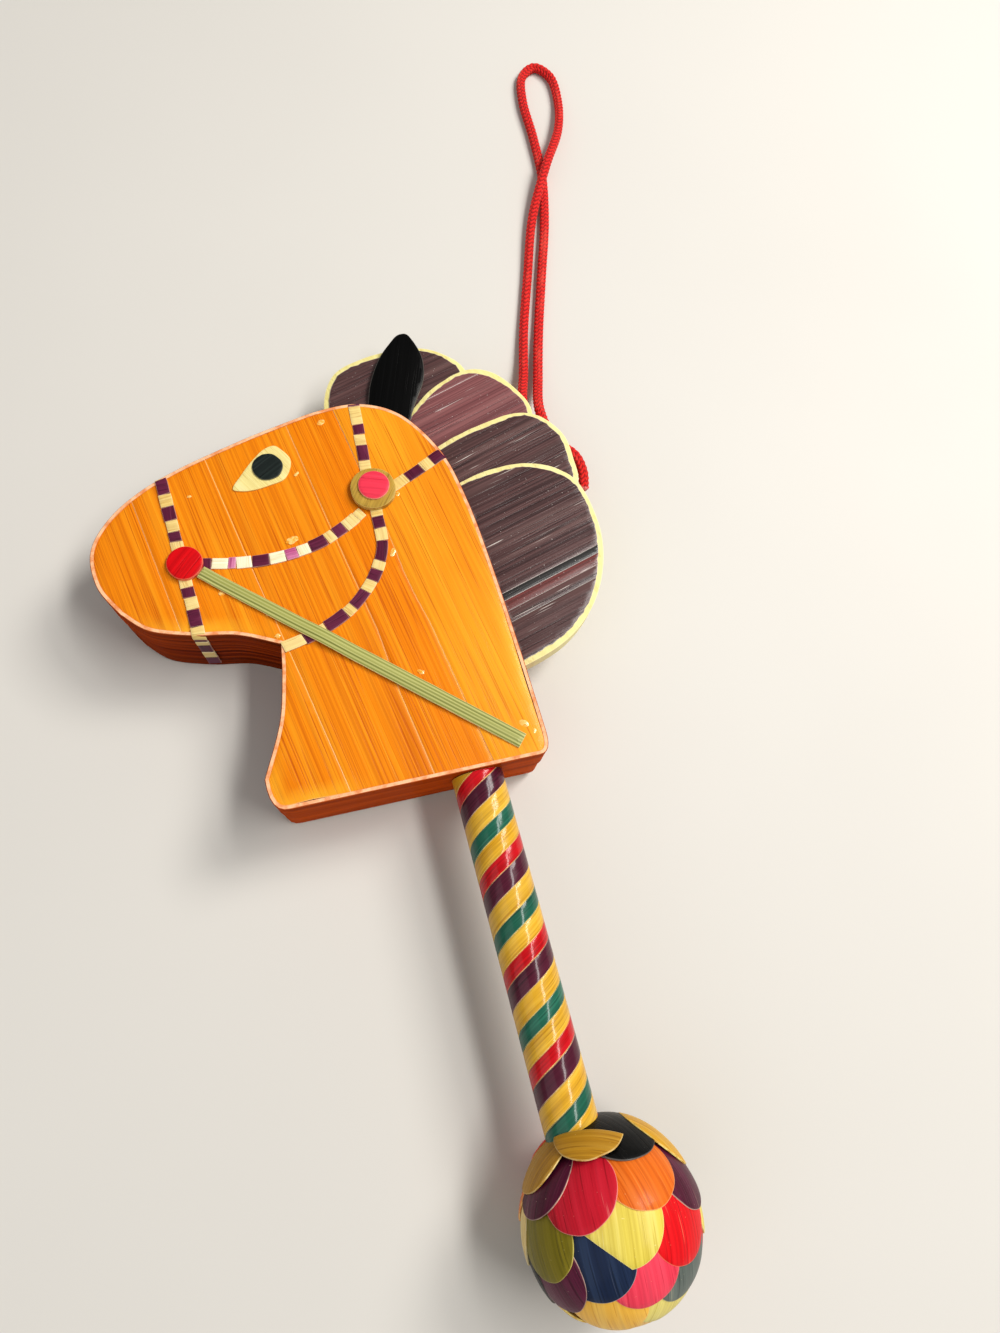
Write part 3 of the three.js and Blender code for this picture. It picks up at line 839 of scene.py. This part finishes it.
def makeMane(m):
    block = offsetLoop(headOutline, headGap)
    board = Pile()
    for k, points in enumerate(m["lobes"]):
        loop = tidyLoop(catmull(points, 0.7, True))
        top = m["underside"] + m["thick"] + m["step"] * k
        turn = math.radians(m["grain"][k])
        c, s = math.cos(turn), math.sin(turn)
        addSheet(board, loop, flatAt(top), dict(m["boardCut"], thick=top - m["underside"]), turn,
                 lambda x, y, strip: 0.04 * wave(x * 0.5, y * 0.5, k), voids=[block], tone=0.2 + 0.2 * k,
                 looks=(0, 0))
        across = m["strips"][k]
        seams = []
        for w in across:
            for far in (w, w - m["seamLip"], w + m["seamLip"]):
                seams.append([(a * c - far * s, a * s + far * c) for a in np.arange(0, 50, 1.2)])

        def stripOf(x, y):
            return sum(y * c - x * s > edge for edge in across)

        def border(i):
            return -max(0.3, m["border"] + 0.55 * wave(i * 0.07, k * 5.0) + 0.22 * wave(i * 0.6, k))

        def ripple(x, y, strip):
            return 0.03 * wave(x * 0.2, y * 0.2, k * 9.0) + 0.02 * strip

        pile = Pile()
        addSheet(pile, offsetLoop(loop, border), flatAt(top + m["leafCut"]["thick"] + 0.02), m["leafCut"],
                 turn + math.pi / 2, ripple, seams, stripOf, [block], m["tones"][k],
                 [(n + 1, 0) for n in range(len(across) + 1)])
        looks = [cutEdge("mane")] + [straw(dye, "mane") for dye in m["dyes"][k]]
        makePiece("maneLeaf%d" % (k + 1), pile, looks, ["mane_leaf_%d" % (k + 1)])
    makePiece("maneBoard", board, [straw("lining", "board")], ["mane_board"])


makeMane(mane)

# the ear: one bowed black leaf behind the top of the head
ear = dict(
    outline=[(-0.6, 66), (-0.2, 68.8), (0.5, 71.3), (1.5, 74), (4.3, 78.6), (6.8, 81.1), (8.7, 82.5),
             (10.2, 82.4), (11, 80.9), (11.8, 77.5), (11.5, 74.5), (10.7, 72.2), (8.9, 69.3), (7.2, 66.5),
             (6, 64.4), (2, 63.4)],
    root=(3, 65.2),
    tip=(9.8, 82.6),
    halfWidth=5.0,
    level=11.25,
    thick=0.8,
    bow=0.45,
    cut=dict(thick=0.56, pitch=0.6, lip=0.16, drop=0.1),
)


def makeEar(e):
    root, tip = Vector(e["root"]), Vector(e["tip"])
    way = (tip - root).normalized()

    def bow(x, y, strip):
        off = (x - root.x) * -way.y + (y - root.y) * way.x
        return e["bow"] * (1 - (off / e["halfWidth"]) ** 2) - 0.2

    block = offsetLoop(headOutline, headGap)
    turn = math.atan2(way.y, way.x) - math.pi / 2
    makeLeaf("earLeaf", "ear", "straw_black", "black", "ear", catmull(e["outline"], 0.4, True),
             flatAt(e["level"] + e["thick"]), e["cut"], turn, bow, voids=[block], tone=0.1)


makeEar(ear)

# the eye: a pale drop with a dark round pupil on it
eye = dict(
    outline=[(-25.9, 56.8), (-24.4, 56.1), (-22.1, 55.9), (-19.6, 56.2), (-17.4, 56.7), (-16.1, 58.3),
             (-15.6, 60.2), (-16.6, 62.2), (-17.7, 63.3), (-19.5, 63.0), (-21.6, 61.5), (-24.1, 59.1)],
    pupil=(-19.6, 59.5),
    pupilWidth=5.0,
    grain=math.radians(28),
    pupilGrain=math.radians(-62),
    rise=0.3,
    pupilRise=0.58,
    cut=dict(thick=0.26, pitch=0.45, lip=0.12, drop=0.06),
    pupilCut=dict(thick=0.26, pitch=0.4, lip=0.12, drop=0.07),
)


def roundLoop(centre, width, ragged=0.0, seed=0.0, step=0.35):
    count = max(16, round(math.pi * width / step))
    loop = []
    for k in range(count):
        a = 2 * math.pi * k / count
        r = width / 2 * (1 + ragged * wave(math.cos(a) * 1.7, math.sin(a) * 1.7, seed))
        loop.append((centre[0] + r * math.cos(a), centre[1] + r * math.sin(a)))
    return loop


def makeEye(e):
    top = ornament["headThick"]
    drop = catmull(e["outline"], 0.35, True)
    pupil = roundLoop(e["pupil"], e["pupilWidth"], 0.06, 4.0)
    makeLeaf("eyeDrop", "eye_white", "straw_pale", "eyeWhite", "band", drop, flatAt(top + e["rise"]),
             e["cut"], e["grain"], lambda x, y, strip: 0.05 * wave(x * 0.4, y * 0.4), tone=0.6)
    makeLeaf("eyePupil", "eye_pupil", "straw_black", "pupil", "band", pupil, flatAt(top + e["pupilRise"]),
             e["pupilCut"], e["pupilGrain"], lambda x, y, strip: 0.04 * wave(x * 0.5, y * 0.5), tone=0.3)


makeEye(eye)
print("head, mane, ear and eye made")

# the bridle: small straw squares glued one after another along each strap
strap = dict(
    width=1.95,
    gap=0.05,
    level=15.06,
    cornerRound=0.9,
    wallGap=0.06,  # between the side of the head and the strap
    hem=1.0,
    maneHem=11.6,  # where the straps end above the mane
    cut=dict(thick=0.3, pitch=0.4, lip=0.09, drop=0.05),
)
dyeOf = dict(p="purple", c="cream", w="white", k="lilac")


def faceRoute(line, level):
    points = catmull(line, 0.25)
    route = []
    for i, p in enumerate(points):
        ahead = (points[min(i + 1, len(points) - 1)] - points[max(i - 1, 0)]).normalized()
        up = Vector((0, 0, 1))
        route.append((Vector((p.x, p.y, level)), up, up.cross(Vector((ahead.x, ahead.y, 0)))))
    return route


def overEdge(start, end, level, bend, hem):
    # from start on the face to where the line leaves the head, over the rim and down the side
    start, end = Vector(start), Vector(end)
    way = (end - start).normalized()
    best = None
    for i, p in enumerate(headOutline):
        q = headOutline[(i + 1) % len(headOutline)]
        met = geometry.intersect_line_line_2d(start, end, p, q)
        if met and (best is None or (met - start).length > (best[0] - start).length):
            along = (q - p).normalized()
            best = (met, Vector((along.y, -along.x, 0)))
    met, out = best
    gap = strap["wallGap"]
    up = Vector((0, 0, 1))
    side = up.cross(Vector((way.x, way.y, 0)))
    wallSide = up.cross(out)
    if wallSide.dot(side) < 0:
        wallSide = -wallSide
    turnPoint = Vector((met.x, met.y, 0)) + out * (gap - bend)
    inset = bend / max(0.4, Vector((way.x, way.y, 0)).dot(out))
    flatEnd = met - way * inset
    route = []
    flat = [start] + straight(start, flatEnd, 0.25)
    for p in flat:
        route.append((Vector((p.x, p.y, level)), up, side))
    for k in range(1, 9):
        a = math.pi / 2 * k / 8
        spot = turnPoint + out * (bend * math.sin(a)) + up * (level - bend + bend * math.cos(a))
        slide = Vector((flatEnd.x, flatEnd.y, 0)) + out * (bend * math.sin(a))
        mix = k / 8
        spot = Vector((slide.x * (1 - mix) + spot.x * mix, slide.y * (1 - mix) + spot.y * mix, spot.z))
        normal = (up * math.cos(a) + out * math.sin(a)).normalized()
        route.append((spot, normal, side.lerp(wallSide, mix).normalized()))
    foot = Vector((met.x, met.y, 0)) + out * gap
    for z in np.arange(level - bend - 0.25, hem, -0.25):
        route.append((foot + up * z, out, wallSide))
    return route


def routeFrame(route):
    lengths = np.cumsum([0] + [(b[0] - a[0]).length for a, b in zip(route, route[1:])])
    table = np.array([[*p, *n, *s] for p, n, s in route])

    def place(s, t, high):
        row = [np.interp(s, lengths, table[:, k]) for k in range(9)]
        return Vector(row[:3]) + Vector(row[6:]).normalized() * t + Vector(row[3:6]).normalized() * high
    return place, lengths[-1]


def addSquares(pile, route, sizes, looks):
    place, total = routeFrame(route)
    start = 0.0
    for dye, size in sizes:
        end = min(start + size, total)
        if end - start < 0.3:
            break
        half = strap["width"] / 2 * random.uniform(0.93, 1.06)
        skew = random.uniform(-0.09, 0.09)
        shift = random.uniform(-0.07, 0.07)
        lean = random.uniform(-0.05, 0.05)
        gap = strap["gap"]
        square = [(start + gap - skew, -half + shift), (end - gap - skew, -half + shift + lean),
                  (end - gap + skew, half + shift + lean), (start + gap + skew, half + shift)]
        loop = []
        for a, b in zip(square, square[1:] + square[:1]):
            loop += straight(a, b, 0.4)
        grain = random.choice((0.0, 0.0, math.pi / 2)) + random.uniform(-0.12, 0.12)
        up = strap["cut"]["thick"] + random.uniform(-0.04, 0.05)
        addSheet(pile, loop, place, strap["cut"], grain, lambda x, y, strip: up, tone=random.random(),
                 looks=looks[dyeOf[dye]])
        start = end


def squares(words):  # letter of the dye and length of each square
    return [(word[0], float(word[1:])) for word in words.split()]


def alternate(sizes, first, length=2.1):
    turn = {"p": "c", "c": "p"}
    last = first
    out = list(sizes)
    for k in range(14):
        out.append((last, length + 0.5 * wave(k * 3.7, 1.0)))
        last = turn[last]
    return out


def makeStrap(name, node, parts):
    pile = Pile()
    looks, materials = dyeLooks(dyeOf.values(), "band")
    for route, sizes in parts:
        addSquares(pile, route, sizes, looks)
    makePiece(name, pile, materials, [node])


def makeBridle(s):
    level, bend = s["level"], s["cornerRound"]
    noseUp = overEdge((-36.4, 46.6), (-36.9, 66), level, bend, s["hem"])
    noseDown = overEdge((-36.3, 44.2), (-36.0, 28), level, bend, s["hem"])
    makeStrap("noseBand", "noseband", [
        (noseUp, alternate(squares("c3.1 p1.8 c2.1 p2.6 c2.3 p2.9"), "c")),
        (noseDown, squares("c2.8 p1.8 c2.1 p3.0 c2.2 p0.9 c1.5 p3.5 c2.5 p3.4")),
    ])
    brow = overEdge((-3.9, 54.0), (-2.4, 73), level, bend, s["maneHem"])
    makeStrap("browBand", "browband", [
        (brow, squares("c3.0 p3.0 c2.1 p2.0 c3.6 p3.0")),
    ])
    crown = overEdge((-0.9, 50.7), (13.5, 57.1), level, bend, s["maneHem"])
    makeStrap("crownStrap", "crown_strap", [
        (crown, squares("c3.6 p3.2 c2.1 p4.2 c3.0")),
    ])
    cheek = faceRoute([(-33.2, 44.8), (-32.6, 44.7), (-27.7, 43.6), (-23.2, 43.1), (-19.2, 43.2), (-14.2, 44),
                       (-9.6, 45.9), (-6.3, 47.8)], level)
    makeStrap("cheekStrap", "cheek_strap", [
        (cheek, squares("p1.4 w2.6 k1.25 w2.5 p2.8 w2.6 k2.0 w2.1 p3.0 c1.6 p2.1 c2.6 c2.0")),
    ])
    latch = faceRoute([(-3.9, 48.0), (-4.1, 47.2), (-4.6, 41), (-7, 36.4), (-10.5, 32.7), (-14.6, 30.2),
                       (-20, 28.4), (-24.6, 27.6)], level)
    makeStrap("throatLatch", "throat_latch", [
        (latch, squares("c1.7 p2.2 c2.3 p3.7 c1.6 p2.1 c2.1 p3.3 c1.6 p4.0 c1.6 p2.2 c3.6")),
    ])


makeBridle(strap)

# the rein: one long green straw from the bit to the neck's corner
rein = dict(
    line=[(-33.7, 43.3), (8.1, 3.3)],
    startWidth=2.1,
    endWidth=2.5,
    level=15.2,
    rib=0.52,
    pieces=60,
    cut=dict(thick=0.32, pitch=0.5, lip=0.12, drop=0.05),
)


def makeRein(r):
    start, end = (Vector(p) for p in r["line"])
    way = (end - start).normalized()
    length = (end - start).length
    off = Vector((-way.y, way.x))

    def place(s, t, high):
        spot = start + way * s + off * t
        hump = 0.3 * math.exp(-((s - 22.5) / 3.5) ** 2) + 0.35 * math.exp(-(s / 2.5) ** 2)
        rise = 0.12 * math.sin(math.pi * s / length) + hump - 0.12 * max(0.0, (s - length + 6) / 6)
        return (spot.x, spot.y, r["level"] + rise + high)

    upper, lower = [], []
    for i in range(r["pieces"] + 1):
        s = length * i / r["pieces"]
        half = 0.5 * (r["startWidth"] + (r["endWidth"] - r["startWidth"]) * min(1, s / (0.6 * length)))
        upper.append((s, half + 0.04 * wave(s * 0.3, 2)))
        lower.append((s, -half - 0.04 * wave(s * 0.3, 8)))
    along = np.arange(0.3, length - 0.3, 0.9)
    ribs = [[(s, t) for s in along] for t in np.arange(-0.91, 0.92, r["rib"] / 4)]

    def ribbed(s, t, strip):
        crown = 0.06 * (1 - (t / 1.2) ** 2)
        return r["cut"]["thick"] + crown - 0.03 * math.sin(2 * math.pi * t / r["rib"])
    makeLeaf("greenRein", "rein", "straw_green", "green", "rein", lower + upper[::-1], place, r["cut"],
             math.pi / 2, ribbed, ribs, tone=0.35)


makeRein(rein)

# the punched discs: red bit, pale rosette with a pink button
discs = [
    dict(name="bitDisc", node="bit_disc", centre=(-35.8, 45.4), width=5.7, base=15.4, thick=0.62,
         dye="red", slot="straw_red", grain=-48, ragged=0.03, dome=0.12),
    dict(name="rosetteDisc", node="rosette_disc", centre=(-3.6, 51.1), width=7.5, base=15.4, thick=0.9,
         dye="rosette", slot="straw_pale", grain=-38, ragged=0.03, dome=0.05),
    dict(name="pinkButton", node="rosette_button", centre=(-3.4, 51.4), width=5.2, base=16.3, thick=0.42,
         dye="pink", slot="straw_pink", grain=70, ragged=0.025, dome=0.12),
]


def makeDisc(d):
    def dome(x, y, strip):
        r = math.hypot(x - d["centre"][0], y - d["centre"][1]) / (d["width"] / 2)
        return d["dome"] * (1 - r * r) + 0.03 * wave(x * 0.5, y * 0.5, d["width"])
    loop = roundLoop(d["centre"], d["width"], d["ragged"], d["width"])
    cut = dict(thick=d["thick"], pitch=0.4, lip=0.14, drop=0.1)
    makeLeaf(d["name"], d["node"], d["slot"], d["dye"], "disc", loop, flatAt(d["base"] + d["thick"]), cut,
             math.radians(d["grain"]), dome, tone=0.3)


for disc in discs:
    makeDisc(disc)

# dried drops of glue beside the straps: middle, length, width, way it runs in degrees
glue = dict(
    drops=[(-9.0, 66.0, 1.5, 0.9, 20), (-3.3, 39.4, 1.6, 0.8, 60), (-24.4, 29.9, 0.9, 0.7, 10),
           (-18.6, 45.5, 2.0, 1.3, 15), (-4.2, 18.3, 1.2, 0.7, -40), (9.2, 6.0, 2.0, 1.2, -40),
           (10.4, 4.4, 1.1, 0.8, 60), (-31.4, 39.1, 1.0, 0.6, -30), (0.2, 49.6, 0.9, 0.6, 70),
           (-24.9, 33.9, 1.1, 0.6, 20), (-33.0, 57.3, 0.7, 0.5, 0), (-15.2, 57.3, 1.0, 0.5, 40)],
    level=15.1,
    height=0.13,
    sharp=60,
    cut=dict(thick=0.3, pitch=0.2, lip=0, drop=0),
)


def glueMaterial():
    material, wire, feed = newMaterial("driedGlue", {"Coat Weight": 0.6, "Coat Roughness": 0.1})
    place = wire.add("TexCoord", out="Object")
    x, y = place.part("X") * 1000, place.part("Y") * 1000
    cloud = wire.noise(x * 1.6, y * 1.6, 0.0, 2)
    feed("Base Color", cloud.smooth(0.35, 0.65).blend(tint(244, 158, 30), tint(250, 206, 120)))
    feed("Roughness", cloud * 0.2 + 0.12)
    feed("Normal", cloud.bump(0.0001))
    return material


def makeGlue(g):
    pile = Pile()
    for n, (x, y, long, wide, way) in enumerate(g["drops"]):
        c, s = math.cos(math.radians(way)), math.sin(math.radians(way))
        ring = roundLoop((0, 0), 1.0, 0.3, n * 3.1, 0.1)
        loop = [(x + p * long * c - q * wide * s, y + p * long * s + q * wide * c) for p, q in ring]

        def dome(px, py, strip):
            p, q = (px - x) * c + (py - y) * s, (py - y) * c - (px - x) * s
            far = (2 * p / long) ** 2 + (2 * q / wide) ** 2
            return g["height"] * max(0.0, 1 - far) + faceLift(px, py, 0)
        addSheet(pile, loop, flatAt(g["level"]), g["cut"], 0.0, dome, looks=(0, 0), tone=0.5)
    makePiece("glueDrops", pile, [glueMaterial()], sharp=g["sharp"])


makeGlue(glue)
print("bridle made")

# the stick: five straw ribbons wound side by side round a dowel
stick = dict(
    foot=0.3,
    slant=1.2,
    radius=4.1,
    pitch=13.8,
    top=0.95,
    bottom=-53.2,
    redMiddle=0.3,  # height of a red ribbon's middle on the front
    # dye and share of the pitch, upwards
    ribbons=[("scarlet", 0.17), ("yellow", 0.205), ("teal", 0.18), ("yellow", 0.225), ("wine", 0.22)],
    seamGap=0.12,
    coreInset=0.16,
    coreSides=40,
    cut=dict(thick=0.2, pitch=0.55, lip=0.08, drop=0.02),
)


def stickPlace(k):
    turn = Matrix.Rotation(math.radians(-k["slant"]), 3, "Z")
    foot = Vector((k["foot"], 0, ornament["stickLevel"]))

    def place(arc, y, high):
        a = arc / k["radius"]
        r = k["radius"] + high
        return turn @ Vector((r * math.sin(a), y, r * math.cos(a))) + foot
    return place


def makeStick(k):
    place = stickPlace(k)
    girth = 2 * math.pi * k["radius"]
    rise = k["pitch"] / girth
    turn = math.atan(rise)
    pile = Pile()
    low = k["redMiddle"] - k["ribbons"][0][1] * k["pitch"] / 2
    looks, materials = dyeLooks(("scarlet", "yellow", "teal", "wine"), "wound")
    core = len(materials)
    materials.append(straw("cream", "board"))
    for n, (dye, share) in enumerate(k["ribbons"]):
        width = share * k["pitch"]
        base = low + 0.05
        # the band y = base + rise * arc .. base + width + rise * arc, cut at both ends of the stick
        first = (k["bottom"] - base - width) / rise
        last = (k["top"] - base) / rise
        lower, upper = [], []
        for a in np.arange(first, last, 0.45):
            wobble = 0.06 * wave(a * 0.11, n * 4.0) + 0.03 * wave(a * 0.7, n)
            bottom = min(max(base + rise * a + wobble, k["bottom"]), k["top"])
            upto = min(max(base + width - k["seamGap"] + rise * a - wobble, k["bottom"]), k["top"])
            if upto - bottom > 0.03:
                lower.append((a, bottom))
                upper.append((a, upto))

        def bulge(a, y, strip, base=base, width=width, n=n):
            t = (y - base - rise * a) / width
            return 0.004 * (1 - (2 * t - 1) ** 2) + 0.01 * wave(a * 0.06, n)
        addSheet(pile, lower + upper[::-1], place, k["cut"], turn - math.pi / 2, bulge,
                 tone=0.25 + 0.1 * n, looks=looks[dye])
        low += width
    sides = k["coreSides"]
    arcs = [girth * i / sides for i in range(sides)]
    rings = []
    for y in np.linspace(k["bottom"], k["top"], sides):
        rings.append([pile.point(place(arc, y, -k["coreInset"]), (arc, y), 0.4) for arc in arcs])
    closeRings(pile, rings, core, False)
    makePiece("woundStick", pile, materials, ["stick"])


makeStick(stick)

# the ball: punched straw rounds laid like shingles from the stick down
ball = dict(
    centre=(0.9, -64.4, 10.2),
    base=12.15,
    rowStep=0.075,
    topScale=0.75,
    collar=1.1,  # the first row leans up against the stick
    lift=0.48,
    tilt=0.1,
    spread=25,
    coreInset=0.12,
    coreGrain=12,
    coreRings=24,
    coreSides=48,
    cut=dict(thick=0.2, pitch=0.7, lip=0.14, drop=0.06),
    rows=[  # from the stick down: dye, polar angle of the tip, angle round from the front to the right
        [("mustard", 43, -5), ("black", 50, 36), ("yellow", 73, 91), ("plum", 54, 150), ("red", 54, 212),
         ("mustard", 58, -84)],
        [("plum", 70, -66), ("crimson", 79, -26), ("orangeScale", 78, 24), ("plum", 92, 63),
         ("yellow", 84, 107), ("teal", 80, 152), ("red", 80, 197), ("orangeScale", 80, 244)],
        [("olive", 103, -58), ("paleYellow", 102, 0), ("red", 114, 38), ("paleYellow", 112, 84),
         ("navy", 106, 130), ("pink", 106, 175), ("mustard", 104, 216), ("cream", 102, 258)],
        [("plum", 124, -58), ("navy", 118, -24), ("pink", 129, 4), ("greyGreen", 136, 36), ("red", 134, 78),
         ("yellow", 130, 120), ("plum", 130, 165), ("olive", 130, 210), ("black", 126, 262)],
        [("amber", 150, -28), ("paleYellow", 152, 22), ("amber", 156, 70), ("red", 154, 130),
         ("navy", 154, 190), ("yellow", 152, 250)],
        [("amber", 176, 0), ("mustard", 178, 180)],
    ],
    spreads={0: 21},  # the one that leans on the stick is smaller
    trims={0: (66, 0.02), 15: (222, 0.78)},  # scales cut straight: way of the cut, how far out
)


def trimmed(loop, way, limit):  # the loop cut off along a line across the way
    c, s = math.cos(math.radians(way)), math.sin(math.radians(way))
    kept = [p for p in loop if p[0] * c + p[1] * s < limit]
    gap = max(range(len(kept)), key=lambda i: math.dist(kept[i], kept[i - 1]))
    return kept[gap:] + kept[:gap] + [tuple(p) for p in straight(kept[gap - 1], kept[gap], 0.5)[:-1]]


def rayAt(polar, turn):
    return Vector((math.sin(polar) * math.sin(turn), math.cos(polar), math.sin(polar) * math.cos(turn)))


def makeBall(b):
    pile = Pile()
    scales = [(row, *scale) for row, scales in enumerate(b["rows"]) for scale in scales]
    looks, materials = dyeLooks(sorted({s[1] for s in scales}), "scale")
    slant = Matrix.Rotation(math.radians(-stick["slant"]), 3, "Z")
    middle = Vector(b["centre"])
    for n, (row, dye, tip, around) in enumerate(scales):
        spread = b["spreads"].get(n, b["spread"])
        polar, turn, reach = (math.radians(a) for a in (tip - spread, around, spread))
        out = rayAt(polar, turn)
        down = Vector((math.cos(polar) * math.sin(turn), -math.sin(polar), math.cos(polar) * math.cos(turn)))
        right = down.cross(out)
        if right.dot(Vector((math.cos(turn), 0, -math.sin(turn)))) < 0:
            right = -right
        size = b["base"] * reach
        hang = 0.04 * wave(n * 3.3, 1.0) + b["rowStep"] * (len(b["rows"]) - 1 - row)
        hang += b["topScale"] if n == 0 else 0
        lean = b["collar"] if row == 0 else 0

        def place(x, y, high):
            far = math.hypot(x, y)
            angle = far / b["base"]
            way = (right * x - down * y).normalized() if far > 1e-6 else right
            ray = out * math.cos(angle) + way * math.sin(angle)
            up = 0.5 + y / (2 * size)
            r = b["base"] + b["lift"] * (1 - up) + lean * up + b["tilt"] * x / size + hang + high
            return middle + slant @ (ray * r)
        loop = roundLoop((0, 0), 2 * size, 0.035, n * 2.7, 0.5)
        if n in b["trims"]:
            loop = trimmed(loop, b["trims"][n][0], b["trims"][n][1] * size)
        grain = random.uniform(-0.3, 0.3) if n else math.radians(b["trims"][n][0])
        addSheet(pile, loop, place, b["cut"], grain,
                 lambda x, y, strip: 0.04 * wave(x * 0.35, y * 0.35, n * 1.9),
                 tone=random.random(), looks=looks[dye])
    core = len(materials)
    materials.append(straw("cream", "board"))
    rings = []
    for i in range(1, b["coreRings"]):
        polar = math.pi * i / b["coreRings"]
        ring = []
        for k in range(b["coreSides"]):
            turn = 2 * math.pi * k / b["coreSides"]
            spot = middle + slant @ (rayAt(polar, turn) * (b["base"] - b["coreInset"]))
            ring.append(pile.point(spot, (turn * b["coreGrain"], polar * b["coreGrain"]), 0.4))
        rings.append(ring)
    closeRings(pile, rings, core, False)
    makePiece("scaledBall", pile, materials, ["ball"])


makeBall(ball)
print("stick and ball made")

# pale table and soft studio light
studio = dict(
    floor=(214, 211, 205),
    world=(1.0, 0.98, 0.95),
    worldStrength=0.28,
    aim=(0.01, 0, 0.01),
    tableReach=3,
    lamps=[
        dict(name="key", place=(0.42, 0.16, 0.46), size=(0.2, 0.2), power=2.45, colour=(1.0, 0.97, 0.92)),
        dict(name="window", place=(0.27, -0.05, 0.56), size=(0.44, 0.09), power=2.2,
             colour=(1.0, 0.98, 0.95)),
        dict(name="fill", place=(-0.45, -0.2, 0.5), size=(0.6, 0.6), power=0.8, colour=(0.97, 0.98, 1.0)),
    ],
)


def floorMaterial(s):
    material, wire, feed = newMaterial("paleTable", {"Specular IOR Level": 0.25})
    place = wire.add("TexCoord", out="Object")
    x, y = place.part("X"), place.part("Y")
    cloud = wire.noise(x * 9, y * 9, 0.0, 3)
    colour = (cloud.smooth(0.3, 0.7) * 0.3).blend(tint(*s["floor"]), tint(*[c - 8 for c in s["floor"]]))
    feed("Base Color", colour)
    feed("Roughness", cloud * 0.15 + 0.6)
    return material


def setStudio(s):
    mesh = bpy.data.meshes.new("table")
    far = s["tableReach"]
    mesh.from_pydata([(-far, -far, 0), (far, -far, 0), (far, far, 0), (-far, far, 0)], [], [(0, 1, 2, 3)])
    mesh.materials.append(floorMaterial(s))
    table = bpy.data.objects.new("table", mesh)
    bpy.context.collection.objects.link(table)
    world = bpy.data.worlds.new("studio")
    world.use_nodes = True
    sky = world.node_tree.nodes["Background"]
    sky.inputs["Color"].default_value = (*s["world"], 1)
    sky.inputs["Strength"].default_value = s["worldStrength"]
    bpy.context.scene.world = world
    for lamp in s["lamps"]:
        data = bpy.data.lights.new(lamp["name"], "AREA")
        data.shape = "RECTANGLE"
        data.energy, data.color = lamp["power"], lamp["colour"]
        data.size, data.size_y = lamp["size"]
        light = bpy.data.objects.new(lamp["name"], data)
        light.location = lamp["place"]
        way = Vector(s["aim"]) - Vector(lamp["place"])
        light.rotation_euler = way.to_track_quat("-Z", "Y").to_euler()
        bpy.context.collection.objects.link(light)
    bpy.context.scene.view_settings.view_transform = "Standard"


setStudio(studio)
print("studio set")
